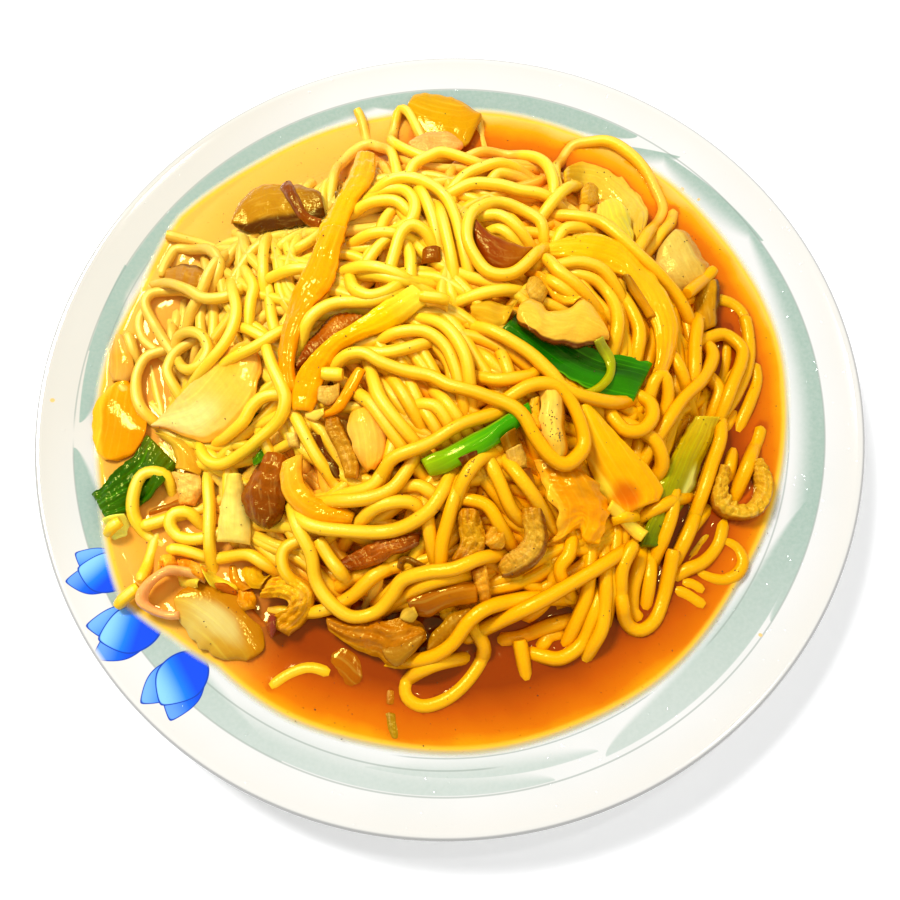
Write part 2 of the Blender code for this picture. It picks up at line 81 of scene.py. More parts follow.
# Sauce and heap, as in the solid model
SAUCE_LEVEL = 17.2
HEAP_CENTRE = (-3.0, 15.0)
HEAP_RADIUS = 95.0
HEAP_WAVES = ((2, 3.2, -2.2), (3, 2.2, 0.4), (5, 1.2, 1.0))
HEAP_EDGE = SAUCE_LEVEL + 1.0
HEAP_RISE = 27.0
HEAP_POWER = 2.2
HIGHEST = 52.6                  # nothing stands above this

# How dark the sauce is round the plate: directions in degrees, and the share there
SAUCE_SIDES = (-150.0, -125.0, -105.0, -85.0, -50.0, 0.0, 12.0, 40.0, 80.0, 110.0, 150.0)
SAUCE_DARK = (0.9, 0.98, 1.02, 1.0, 1.08, 1.2, 1.3, 0.92, 0.9, 0.76, 0.76)
# The sauce's outer edge: radius at some directions, in degrees
SHORE_ANGLES = (-170.0, -152.0, -143.0, -134.0, -120.0, -100.0, -60.0, -40.0, -20.0, 0.0, 20.0, 40.0, 80.0,
                100.0, 120.0, 138.0, 152.0, 165.0)
SHORE_RADII = (119.0, 122.0, 116.5, 112.6, 113.4, 113.3, 112.8, 112.2, 113.4, 115.6, 116.8, 118.0, 117.6,
               118.4, 119.4, 121.0, 117.5, 119.0)
SHORE = 4.2                     # the sauce gets thin over this distance from its edge
SAUCE_RINGS = 70
SAUCE_SPOKES = 600
SAUCE_INNER = 0.72              # the pool starts inside the heap, at this share of the heap's radius
SAUCE_SHADE = (84.0, 30.0)      # radius where the shade of the heap starts to fade, and over how much
CREEP = 1.2                     # how far the sauce creeps up what stands in it, at most
# Colour of the sauce at some shares of its depth; the settings give the deepest
SAUCE_DEPTHS = ((0.1, (0.78, 0.52, 0.1)), (0.26, (0.78, 0.33, 0.001)), (0.42, (0.68, 0.152, 0.0)),
                (0.66, (0.515, 0.082, 0.0)))

STUDIO_GAIN = 1.3               # how much brighter a colour comes out under the studio light

# Thick patches of pepper: x, y, how wide they spread, and their grains
PEPPER_PATCHES = ((31.7, -25.8, 1.3, 22), (30.4, -18.8, 2.6, 16), (6.4, -30.9, 0.6, 6), (5.3, -32.8, 0.6, 7),
                  (4.3, -34.7, 0.5, 5), (48.6, 19.5, 0.5, 3), (26.0, -22.0, 3.0, 10))
PEPPER_REACH = 112.0            # the rest of it lies this far out at most
PEPPER_SEED = 31

# Noodles
STRAND_STEP = 1.4               # spacing of the points along a strand
STRAND_LIMIT = 115.0            # no strand lies further out than this
CORE_DROP = 7.5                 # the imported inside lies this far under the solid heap's surface
CORE_RINGS = 30
CORE_SPOKES = 96
BARE_START = 4.0                # the inside is bare from this far within the loose strands' reach
BARE_BLEND = 5.0                # and wholly bare this much further out
BARE_DEPTH = 20.0               # "deep" there, where the look gives it the sauce's colours
SAG = 0.02                      # how far a strand sags at each of its points between supports
PRESS = 0.5                     # how far a noodle presses into what it lies on
# How far out the loose strands lie: directions in degrees from the heap's middle, and the reach there
LOOSE_ANGLES = (-150.0, -120.0, -90.0, -60.0, -40.0, -20.0, 0.0, 20.0, 45.0, 80.0, 110.0, 150.0, 180.0)
LOOSE_RADII = (92.0, 86.0, 84.0, 102.0, 111.0, 107.0, 101.0, 95.0, 86.0, 76.0, 78.0, 92.0, 98.0)
LOOSE_LENGTH = (30.0, 58.0)     # a loose strand's shortest and longest half
LOOSE_SHORTEST = 14.0           # what is left of it, where it ends at the heap's edge
LOOSE_SEED = 21
LOOSE_DROP = 2.4                # each lower layer of loose strands stays this much lower
LOOSE_OVER = 1.2                # highest the top ones may stand over the solid heap
LOOSE_SHOWS = 1.2               # how far they stand out of the sauce at least
LOOSE_DIP = (8.0, 3.0)          # a loose strand's end goes down over this length, by this much
UNDER_GAP = 0.2                 # a strand that passes under a topping stays this far from it
NO_LIMIT = 999.0                # a height that nothing reaches
MORSEL_SINK = 0.8               # how far a small piece sinks between the noodles under it
SUNK_SHOWS = 0.9                # how far a sunk noodle stands out of the sauce
RUN_ON = 13.0                   # a noodle that shows runs on this far under its neighbours
DIVE = 8.5                      # and goes down by this much there
FLOW_REACH = 120.0              # half the size of the field of headings
FLOW_STEP = 4.0                 # and the step of its grid
FLOW_SPREAD = 7.0               # how far a noodle that shows turns its neighbours
FLOW_PULL = 0.16                # and how much of a turn they make at each step
SHOWN_RISE = 8.2                # highest a noodle may stand over the solid heap

# Band on the glaze: middle and half angle in degrees, outer radius, its change from the middle
# to the end, thickness at the middle, and the share of it that fades
SWOOSHES = (
    (75.0, 25.0, 123.4, 0.0, 10.5, 0.25),
    (47.5, 5.5, 121.0, -4.0, 7.0, 0.9),
    (33.5, 11.5, 123.6, -1.0, 9.0, 0.85),
    (-8.0, 34.0, 123.6, 0.0, 10.5, 0.75),
    (-47.0, 25.5, 122.0, 0.0, 11.5, 0.3),
    (-90.0, 17.0, 118.8, 1.0, 7.0, 0.9),
    (-112.0, 32.0, 123.2, 0.0, 11.5, 0.8),
    (-148.0, 30.0, 123.6, 0.0, 12.0, 0.35),
    (164.0, 14.0, 123.2, -1.0, 8.5, 0.35),
    (128.0, 38.0, 123.4, 0.0, 9.0, 0.5),
)
# Thin lines on the glaze: radius, width, middle angle and half of the arc
BAND_LINES = (
    (123.6, 0.35, 0.0, 180.0),
    (113.4, 0.35, 10.0, 62.0),
    (113.0, 0.3, -82.0, 22.0),
    (116.4, 0.35, -112.0, 26.0),
    (118.4, 0.3, 150.0, 16.0),
)
# Tulips on the glaze: x, y, the way the flower opens in degrees, and its size
TULIPS = (
    (-112.5, -47.0, 168.0, 8.6),
    (-104.0, -66.0, 196.0, 9.8),
    (-88.5, -82.5, 236.0, 9.6),
)
# Petals of a tulip, back to front: turn in degrees, forward and side offset, length, width, shade
TULIP_PETALS = (
    (15.0, 0.22, 0.3, 0.95, 0.6, 0.8),
    (-15.0, 0.22, -0.3, 0.95, 0.6, 0.5),
    (0.0, -0.05, 0.0, 0.95, 0.8, 0.0),
)
# Drops of oil on the rim: x, y and radius
OIL_DROPS = ((92.0, 72.0, 0.9), (97.0, 67.0, 0.6), (-130.0, 12.0, 0.9), (88.0, -86.0, 0.7))

# Finish of each kind of topping: name, roughness, grain along and across it, glow from inside, depth of
# its fibres, wet skin, how stained it is, and the colour of its pale streaks
FINISHES = {
    "leaf": ("green_leaf", 0.12, (30.0, 0.7), 0.0, 0.1, 0.03, 0.4, (0.02, 0.1, 0.0)),
    "scallion": ("scallion_green", 0.14, (40.0, 0.7), 0.2, 0.06, 0.01, 0.3, (0.05, 0.1, 0.0)),
    "cabbage": ("pale_cabbage", 0.18, (14.0, 1.2), 0.25, 0.1, 0.03, 0.45, (0.05, 0.08, 0.01)),
    "onion": ("soft_onion", 0.1, (30.0, 1.1), 0.35, 0.05, 0.02, 0.3, (0.05, 0.08, 0.01)),
    "mushroom": ("mushroom_flesh", 0.2, (5.0, 1.0), 0.1, 0.16, 0.05, 0.5, (0.08, 0.06, 0.01)),
    "pork": ("cooked_pork", 0.25, (6.0, 0.8), 0.2, 0.3, 0.1, 0.5, (0.1, 0.08, 0.03)),
}
FOOD_SHINE = (1.0, 0.9, 0.17)   # wet food reflects the light warmly
ROW_STEP = 0.5                  # spacing of a topping's rows along it
COLUMN_STEP = 0.45              # and of its columns across it
EDGE_POINTS = 160               # points along each of its edges
END_INSET = 0.012               # its first and last row stay in by this share of its length

# Stage, in metres. Lights: place, size, share of the key light's power, and whether wet food mirrors it
FLOOR_HEIGHT = -0.0003
LIGHT_TARGET = (0.0, 0.0, 0.03)
LIGHTS = {
    "key": ((-0.28, 0.30, 0.75), 0.2, 1.0, True),
    "fill": ((0.55, -0.45, 0.8), 0.9, 0.48, False),
    "glint_side": ((0.16, 0.12, 0.9), 0.04, 0.08, True),
}
CAMERA_TARGET = (0.09, -15.48, 12.0)    # what the camera looks at, in millimetres
CAMERA_ELEVATION = 72.1                 # degrees over the table
CAMERA_ROLL = -5.58
CAMERA_LENS = 35.872
CAMERA_DISTANCE = 0.3

# The section that a kind of topping has where it doesn't say: "petal" is an arched slice with thin edges,
# "strip" has a round back and a flat belly, "leaf" is a thin waving sheet, "cap" a slice with rounded
# edges, "round" a stalk and "meat" a block with rounded shoulders
USUAL_SECTION = {"leaf": "leaf", "scallion": "round", "cabbage": "petal", "onion": "petal",
                 "mushroom": "cap", "pork": "meat"}
# And the rest that it has then: how blunt its ends are, how uneven its edges and faces, the size of its
# lumps, how much it sinks at its two ends, and its marks
USUAL = {"ends": 3.0, "ragged": 0.03, "rough": 0.06, "lump": 6.0, "sink": (0.0, 0.0), "marks": ()}

# Toppings: the two long edges in plan from end to end, thickness, and colours along the piece. "ribs" are
# a number and a depth, "gills" a spacing, a depth and a slant, "rim" a colour, a side and a width, "marks"
# a place along and across, a length, a width and a colour, "notch" a place across, a spread and a depth
# into its far end, and "level" the height of its middle
TOPPINGS = {
    # leaf_long's dark mark in its middle is a painted shadow of the mushroom beside it.
    "leaf_long": dict(
        left=((26.5, 18.5), (33.5, 13.5), (42, 7), (50, 3), (59, 1.5), (67.5, 0)),
        right=((18.5, 10.5), (23, 6), (28.5, 1.5), (36, -4), (44.5, -9), (52, -11.5), (59, -13)),
        thick=1.5, ends=14.0, rough=0.05, ribs=(1, 0.5), tone=((16, 104, 0), (16, 112, 0), (30, 132, 0),
        (40, 142, 0)), rim=((96, 176, 10), 1, 0.08), marks=((0.5, -0.3, 0.6, 0.5, (8, 84, 0)),)),
    "leaf_left": dict(
        left=((-117, -21.5), (-111, -18.5), (-105.5, -12.5), (-101.5, -7), (-98.5, -2.5)),
        right=((-111, -31), (-104, -28), (-98.5, -25.5), (-93, -20.5), (-89, -13.5)),
        thick=2.2, ends=14.0, rough=0.16, lump=4.0, ribs=(5, 0.35), tone=((60, 112, 0), (44, 104, 0),
        (36, 98, 0), (56, 102, 0), (96, 112, 0))),
    "scallion_tube": dict(
        left=((-9.5, -28), (-3, -26), (6.5, -22), (14, -19), (20.5, -15.5), (25.5, -13)),
        right=((-7, -33), (-0.5, -32), (9, -28.5), (15, -25), (21, -21), (26, -17)),
        thick=5.4, ends=16.0, ragged=0.01, rough=0.01, ribs=(12, 0.05), tone=((170, 200, 20), (104, 184, 0),
        (60, 170, 0), (46, 160, 0)), rim=((150, 196, 40), -1, 0.25)),
    # scallion_stalk's pale mark is a painted highlight.
    "scallion_stalk": dict(
        left=((80, -15), (75, -21.5), (69.5, -29), (65, -36), (62, -43.5), (57.5, -51.5), (55.5, -56.5)),
        right=((88, -16), (85.5, -22.5), (81, -29.5), (77, -38), (72, -44), (66.5, -51), (61.5, -57.5)),
        thick=4.6, ends=12.0, rough=0.03, ribs=(7, 0.2), tone=((236, 196, 40), (216, 176, 0), (190, 168, 0),
        (170, 162, 0), (154, 150, 0), (96, 118, 0)), marks=((0.5, 0.6, 0.12, 0.25, (246, 240, 160)),)),
    "scallion_wedge": dict(
        left=((59, 63), (56.5, 53.5), (58.5, 50.5), (62.5, 44.5), (66.5, 42.5)),
        right=((64.5, 65), (67.5, 61.5), (69, 55), (69, 48.5), (67.5, 43.5)),
        thick=4.0, ends=7.0, rough=0.05, ribs=(6, 0.2), tone=((251, 231, 110), (245, 219, 90),
        (235, 197, 50))),
    "cabbage_speckled": dict(
        left=((28.5, -9.5), (28.5, -14.5), (27, -20.5), (28, -26.5), (30, -32)),
        right=((36, -9), (36, -16), (35, -22), (35.5, -28), (33.5, -32)),
        thick=4.4, ends=8.0, rough=0.04, ribs=(3, 0.2), tone=((255, 215, 90), (255, 228, 130),
        (255, 222, 110), (240, 180, 50)), rim=((236, 150, 20), 1, 0.35)),
    "cabbage_stem": dict(
        left=((-70, -22.5), (-71.5, -29), (-73.5, -35.5), (-75, -42.5)),
        right=((-65, -23), (-64.5, -31), (-64, -37.5), (-64.5, -44.5)),
        thick=4.0, ends=8.0, tone=((255, 236, 125), (255, 250, 170), (255, 241, 150))),
    "cabbage_fan": dict(
        left=((25, -28.5), (26, -36.5), (28.5, -42.5), (30.5, -48), (29.5, -51), (26.5, -54)),
        right=((39, -29.5), (41.5, -35.5), (45.5, -41.5), (47, -45), (45.5, -49), (42, -56)),
        thick=3.0, ends=12.0, ragged=0.1, rough=0.1, ribs=(4, 0.16), notch=(-0.15, 0.35, 5.0),
        tone=((236, 134, 0), (246, 159, 0), (251, 175, 0), (251, 186, 0)), rim=((251, 199, 49), -1, 0.3)),
    "onion_petal_right": dict(
        left=((40, -14.5), (40, -22), (41, -29.5), (43.5, -37), (46.5, -43), (50, -48)),
        right=((43.5, -13.5), (50, -21.5), (56.5, -29), (62, -35.5), (64.5, -40), (62.5, -44)),
        thick=3.0, ends=14.0, ragged=0.02, rough=0.03, ribs=(7, 0.12), tone=((252, 208, 0), (252, 200, 0),
        (252, 196, 0), (252, 187, 0)), marks=((0.86, -0.3, 0.14, 0.45, (247, 122, 0)),
        (0.4, -0.75, 0.25, 0.3, (247, 159, 0)), (0.72, -0.85, 0.1, 0.25, (252, 230, 72)))),
    "onion_petal_big": dict(
        left=((-98, 0), (-91.5, 5.5), (-83, 9.5), (-76, 15), (-69, 18), (-60.5, 20.5)),
        right=((-98, 0), (-91.5, -2), (-83, -7.5), (-76.5, -9.5), (-67.5, -7.5), (-60, -2), (-57.5, 5.5),
               (-57, 13), (-60.5, 20.5)),
        thick=2.4, ends=3.4, rough=0.05, lump=3.0, ribs=(13, 0.07), tone=((255, 233, 196), (255, 225, 152),
        (255, 216, 106), (255, 220, 126)), rim=((255, 194, 76), 1, 0.2), marks=((0.3, 0.1, 0.22, 0.5,
        (255, 247, 200)), (0.85, -0.3, 0.15, 0.5, (255, 194, 56)))),
    "onion_petal_low": dict(
        left=((-90, -58), (-89.5, -62), (-86.5, -68), (-82, -73.5), (-75.5, -77.5), (-68, -79)),
        right=((-90, -58), (-86.5, -54.5), (-79.5, -53.5), (-71.5, -57), (-66.5, -62), (-63.5, -69),
               (-62.5, -75.5), (-68, -79)),
        thick=2.4, sink=(0.0, 2.5), rough=0.0, tone=((236, 180, 72), (238, 203, 142), (227, 171, 72),
        (214, 145, 32)), rim=((214, 136, 12), 1, 0.8), marks=((0.5, 0.0, 0.3, 0.4, (241, 215, 172)),)),
    "onion_left_low": dict(
        left=((-107, 20), (-113, 16), (-116.5, 10), (-118, 2.5), (-116.5, -5.5), (-113, -10)),
        right=((-107, 20), (-102.5, 11), (-99, 1.5), (-100.5, -4), (-104.5, -8.5), (-110, -10.5)),
        thick=1.8, rough=0.02, tone=((254, 186, 12), (254, 167, 0), (254, 160, 0), (254, 176, 0)),
        rim=((254, 204, 52), -1, 0.4)),
    "onion_left_high": dict(
        left=((-110.5, 35.5), (-112.5, 30.5), (-113, 24), (-111.5, 18)),
        right=((-107.5, 34.5), (-105, 29), (-103.5, 21.5), (-106.5, 17)),
        thick=2.4, rough=0.02, tone=((249, 196, 140), (249, 176, 70), (249, 186, 110))),
    "onion_top": dict(
        left=((-3.5, 117.5), (-0.5, 122), (4.5, 122), (11.5, 119.5), (18.5, 115.5), (24, 110)),
        right=((-3.5, 117.5), (-1, 106), (4, 101), (11, 98), (17.5, 98), (24, 109)),
        thick=2.6, ends=5.0, rough=0.02, tone=((231, 171, 0), (235, 173, 0), (237, 160, 0))),
    "onion_low": dict(
        left=((-17.5, -66.5), (-10, -64.5), (-2.5, -63.5), (5, -63)),
        right=((-16.5, -70), (-11.5, -72), (-5, -70), (4, -69.5)),
        thick=2.6, ends=12.0, rough=0.03, ribs=(5, 0.12), tone=((172, 81, 0), (200, 109, 0),
        (211, 122, 0))),
    "onion_pale": dict(
        left=((-28.5, -10.5), (-30, -15), (-29, -21), (-27.5, -26), (-25, -29.5)),
        right=((-22.5, -9.5), (-19.5, -14.5), (-18.5, -20.5), (-20, -26), (-23, -29.5)),
        thick=3.0, ends=4.0, rough=0.04, ribs=(5, 0.12), tone=((251, 198, 58), (251, 209, 108),
        (251, 208, 108), (251, 187, 48))),
    "onion_curve": dict(
        left=((-51, -22.5), (-52, -27.5), (-51.5, -32.5), (-49, -36.5), (-44.5, -40.5), (-38, -43),
              (-31, -44)),
        right=((-44.5, -20.5), (-45, -26.5), (-44, -31), (-41.5, -34.5), (-37, -36.5), (-32.5, -38.5),
               (-29.5, -40.5)),
        section="strip", thick=3.4, ends=9.0, ribs=(4, 0.12), tone=((251, 198, 67), (251, 191, 37),
        (251, 175, 0), (246, 164, 0))),
    "onion_strip_a": dict(
        left=((-22, 91.5), (-24.5, 80.5), (-27.5, 72.5), (-31, 64.5), (-35, 56.5), (-37.5, 47.5)),
        right=((-16, 90), (-16, 79.5), (-18.5, 72), (-22.5, 65.5), (-25.5, 58), (-27.5, 49)),
        section="strip", thick=2.6, ends=5.0, ribs=(3, 0.13), tone=((248, 185, 36), (253, 199, 26),
        (253, 197, 0))),
    "onion_strip_b": dict(
        left=((-33.5, 54.5), (-37.5, 44.5), (-41.5, 36), (-45.5, 28.5), (-48.5, 20), (-50, 12), (-50, 3.5),
              (-49, -3)),
        right=((-26, 53.5), (-29, 42), (-31.5, 32), (-36, 26.5), (-41, 19), (-44, 11.5), (-45, 4.5),
               (-43.5, -2.5)),
        section="strip", thick=2.6, ends=6.0, ribs=(4, 0.13), tone=((253, 187, 0), (253, 178, 0),
        (253, 170, 0), (253, 167, 0))),
    "onion_strip_c": dict(
        left=((-6, 28.5), (-13, 23.5), (-19.5, 19.5), (-27.5, 15.5), (-34.5, 11.5), (-40.5, 7),
              (-44.5, 2.5), (-46.5, -3), (-46.5, -8.5)),
        right=((-1, 22), (-7.5, 18), (-15, 14), (-23.5, 11.5), (-30, 9), (-34, 5), (-36.5, 0), (-38.5, -5),
               (-41, -9.5)),
        section="strip", thick=2.8, ends=5.0, ribs=(4, 0.13), tone=((254, 242, 96), (254, 223, 0),
        (254, 204, 0), (254, 188, 0), (254, 179, 0))),
    "onion_strip_d": dict(
        left=((-25.5, 3), (-29, -1), (-31.5, -5), (-34.5, -8.5), (-38.5, -9.5)),
        right=((-23, 1.5), (-25.5, -3), (-28.5, -7), (-32, -10.5), (-37.5, -11.5)),
        section="strip", thick=2.0, tone=((252, 177, 0), (252, 168, 0))),
    "onion_strip_right": dict(
        left=((34.5, 41.5), (42.5, 44), (53, 45.5), (62, 42.5), (68.5, 36), (73.5, 28.5), (76.5, 20.5),
              (77.5, 12), (75, 3.5), (70, -5.5), (65, -11)),
        right=((34, 39), (41.5, 37.5), (49, 34), (56, 33), (61.5, 29.5), (66, 23), (68, 16.5), (69, 9.5),
               (68, 1.5), (65.5, -4.5), (62, -9)),
        section="strip", thick=2.6, ends=5.0, rough=0.05, ribs=(5, 0.13), tone=((251, 216, 46),
        (251, 199, 0), (251, 204, 36), (251, 191, 6), (251, 176, 0))),
    "mushroom_upper_left": dict(
        left=((-68, 68.5), (-66, 75.5), (-61.5, 79.5), (-56, 81), (-49, 79), (-41.5, 76.5), (-34.5, 72.5)),
        right=((-67.5, 69), (-62.5, 65.5), (-56, 64), (-49, 62.5), (-42.5, 61.5), (-38, 62), (-33.5, 64)),
        thick=3.2, ends=5.0, rough=0.05, tone=((197, 127, 0), (211, 145, 18), (202, 139, 18), (160, 93, 0)),
        rim=((95, 41, 0), 1, 0.45)),
    "mushroom_slice_left": dict(
        left=((-93, 59.5), (-86, 58), (-79, 54), (-75, 49)),
        right=((-94, 54), (-85.5, 45.5), (-79, 43.5), (-75, 46)),
        thick=3.4, rough=0.08, tone=((211, 140, 37), (198, 128, 27)), rim=((139, 79, 0), -1, 0.3)),
    "mushroom_loop": dict(
        left=((15.5, 51.5), (19.5, 46.5), (24.5, 43), (29.5, 40), (33, 38.5)),
        right=((14, 46), (15, 39.5), (18.5, 34), (23, 31.5), (28, 33.5), (33, 38.5)),
        thick=4.0, rough=0.04, tone=((150, 51, 0), (163, 62, 0), (191, 107, 0)),
        rim=((191, 118, 0), -1, 0.3)),
    "mushroom_stem": dict(
        left=((85, 53), (89, 50), (92, 44), (94.5, 36.5), (91, 33)),
        right=((78.5, 46.5), (76, 41), (77, 35.5), (80, 29.5), (85.5, 28)),
        thick=5.2, ends=4.0, rough=0.03, tone=((246, 210, 125), (246, 206, 131), (237, 183, 85)),
        rim=((231, 154, 45), -1, 0.4)),
    "mushroom_right": dict(
        left=((90, 31.5), (87, 23), (87, 13.5)),
        right=((97, 33.5), (96.5, 25.5), (94, 16)),
        thick=4.0, rough=0.05, tone=((227, 156, 0), (216, 144, 0)), rim=((95, 31, 0), 1, 0.45)),
    "mushroom_gilled": dict(
        left=((-22.5, 20.5), (-28, 22), (-33, 21.5), (-37, 18.5), (-40.5, 15), (-43.5, 11), (-45.5, 7)),
        right=((-22.5, 18), (-26.5, 15), (-30, 13), (-34, 10.5), (-39, 8.5), (-42.5, 6.5), (-45, 5)),
        thick=2.8, rough=0.08, gills=(1.5, 0.35, 0.3), tone=((176, 77, 0), (206, 107, 0), (172, 70, 0),
        (147, 56, 0)), rim=((117, 39, 0), -1, 0.35)),
    "mushroom_oval": dict(
        left=((-56, -18), (-59.5, -22.5), (-63.5, -26.5), (-65.5, -30.5), (-64.5, -35), (-61.5, -39),
              (-58, -41.5)),
        right=((-56, -18), (-51, -19.5), (-49.5, -24), (-51, -28.5), (-51.5, -33.5), (-53.5, -38),
               (-58, -41.5)),
        thick=5.2, rough=0.07, lump=4.0, tone=((172, 78, 0), (181, 88, 0), (151, 66, 0), (128, 58, 0))),
    "mushroom_low": dict(
        left=((-43, -67.5), (-36.5, -70), (-29.5, -71), (-23.5, -71.5), (-18.5, -71), (-14, -72.5),
              (-12, -76.5)),
        right=((-42.5, -72), (-38, -76), (-33, -79.5), (-28, -81.5), (-24.5, -84.5), (-20, -84),
               (-12, -77.5)),
        thick=4.2, rough=0.1, lump=5.0, ribs=(3, 0.4), gills=(1.6, 0.22, 0.9), tone=((213, 127, 0),
        (207, 118, 0), (217, 132, 0)), rim=((244, 163, 0), 1, 0.3)),
    "mushroom_small": dict(
        left=((-13.5, -81), (-11, -77), (-7, -73.5), (-3, -71), (2, -70)),
        right=((-11.5, -82.5), (-7, -81.5), (-3.5, -78.5), (-0.5, -75), (2, -71.5)),
        thick=3.4, rough=0.08, gills=(1.9, 0.3, 0.6), tone=((190, 120, 4), (206, 138, 12), (184, 110, 0))),
    "mushroom_front": dict(
        left=((24, 13.5), (25.5, 16.5), (29, 19), (32.5, 18), (34, 15), (37.5, 15), (42, 17), (45.5, 20),
              (49, 17.5), (51, 14), (52.5, 10), (53, 6.5)),
        right=((24, 13.5), (24.5, 10), (27, 7), (30.5, 4.5), (35.5, 3), (41.5, 3), (47, 4), (51, 5.5),
               (53, 6)),
        thick=4.4, rough=0.02, tone=((255, 199, 77), (255, 216, 101), (255, 213, 91), (255, 193, 71)),
        rim=((118, 39, 0), 1, 0.14)),
    "pork_hook": dict(
        left=((19.5, -43.5), (19.5, -47.5), (19.5, -52), (17, -55), (13.5, -56.5), (10.5, -60)),
        right=((26, -43.5), (26.5, -48.5), (26.5, -54.5), (23.5, -59.5), (17, -63), (11.5, -63)),
        thick=5.0, rough=0.1, lump=2.6, gills=(1.5, 0.35, 0.2), tone=((217, 138, 0), (236, 173, 58),
        (240, 179, 78), (223, 148, 18)), rim=((154, 80, 0), 1, 0.42)),
    "pork_chunk_a": dict(
        left=((1.5, -42.5), (0, -47.5), (0.5, -52), (-1.5, -55), (-3, -57.5)),
        right=((6.5, -43), (7.5, -48), (8, -52.5), (7, -55.5), (4.5, -58.5)),
        thick=5.0, rough=0.14, lump=3.0, gills=(1.6, 0.3, 0.4), tone=((229, 146, 0), (235, 165, 22),
        (218, 134, 0))),
    "pork_chunk_b": dict(
        left=((7, -53), (9, -49.5), (12.5, -47.5)),
        right=((9, -55), (13, -55), (14.5, -50.5)),
        thick=4.6, rough=0.12, lump=2.6, tone=((244, 167, 41), (244, 161, 21))),
    "pork_chunk_c": dict(
        left=((3, -60), (3.5, -64.5), (4.5, -70)),
        right=((7.5, -59), (8, -64), (8, -70)),
        thick=4.6, rough=0.12, lump=2.6, tone=((253, 194, 64), (221, 135, 0))),
    "pork_left": dict(
        left=((-90.5, -16.5), (-89, -22), (-88.5, -28)),
        right=((-81, -18.5), (-81, -23.5), (-83.5, -28.5)),
        thick=4.0, rough=0.1, lump=2.4, gills=(1.3, 0.25, 0.2), tone=((255, 216, 137), (255, 220, 145),
        (253, 183, 81))),
    "pork_top": dict(
        left=((-4.5, 94), (0.5, 97.5), (9.5, 98), (15.5, 92.5)),
        right=((-4.5, 94), (0, 88.5), (7, 86.5), (15.5, 91)),
        thick=3.0, lump=4.0, tone=((252, 187, 132), (252, 181, 118))),
    "pork_folded": dict(
        left=((-60.5, -56), (-55, -55), (-49.5, -56.5), (-45.5, -60.5), (-46.5, -65.5), (-49.5, -69),
              (-55, -73)),
        right=((-63, -60.5), (-59.5, -60.5), (-55.5, -61.5), (-53.5, -63.5), (-55.5, -65), (-58.5, -66),
               (-62, -68)),
        thick=5.6, rough=0.1, lump=4.0, ribs=(4, 0.5), tone=((255, 192, 15), (255, 206, 35), (243, 164, 0),
        (234, 152, 0))),
    "pork_flat": dict(
        left=((-36.5, -53), (-32, -51.5), (-28, -50), (-22.5, -49), (-16.5, -48.5), (-10.5, -47.5)),
        right=((-35, -56), (-30, -56.5), (-24.5, -55.5), (-20, -53.5), (-16, -53), (-11.5, -51.5)),
        thick=4.0, rough=0.12, lump=3.0, ribs=(4, 0.5), tone=((154, 59, 0), (189, 85, 0), (199, 94, 0),
        (135, 50, 0))),
    "pork_strand": dict(
        left=((-37, -11.5), (-36.5, -16), (-34, -22), (-32.5, -27.5), (-32, -30.5)),
        right=((-32.5, -11), (-30.5, -17), (-28, -22.5), (-27.5, -28), (-28.5, -31)),
        thick=4.4, rough=0.1, lump=3.0, ribs=(3, 0.4), gills=(1.6, 0.2, 0.3), tone=((199, 116, 0),
        (221, 150, 36), (224, 148, 26))),
    "onion_ring": dict(
        left=((-78, -51.5), (-84, -49), (-90.5, -48), (-96, -50), (-99.5, -53.5), (-100.5, -58),
              (-97.5, -61.5), (-92.5, -64), (-87.5, -64.5)),
        right=((-79.5, -54.5), (-84.5, -52), (-90, -51), (-93.5, -52.5), (-96.5, -55.5), (-97, -58),
               (-95, -60), (-91.5, -61.5), (-87.5, -62)),
        section="round", thick=5.0, ends=8.0, rough=0.03, tone=((250, 185, 140), (252, 191, 150),
        (255, 196, 160))),
    "pork_curl": dict(
        left=((89, -32.5), (87.5, -37), (86.5, -41.5), (88, -44.5), (91, -45.5), (94, -43.5), (95.5, -40),
              (95.5, -36), (95, -31.5)),
        right=((86, -31), (82.5, -37), (80.5, -43), (82.5, -48), (88.5, -50.5), (95, -49.5), (99.5, -44.5),
               (101, -37.5), (99.5, -30)),
        thick=5.4, rough=0.12, lump=2.6, gills=(2.6, 0.4, 0.3), tone=((240, 173, 31), (246, 189, 55),
        (250, 189, 55), (244, 179, 41)), rim=((200, 119, 0), 1, 0.2)),
}
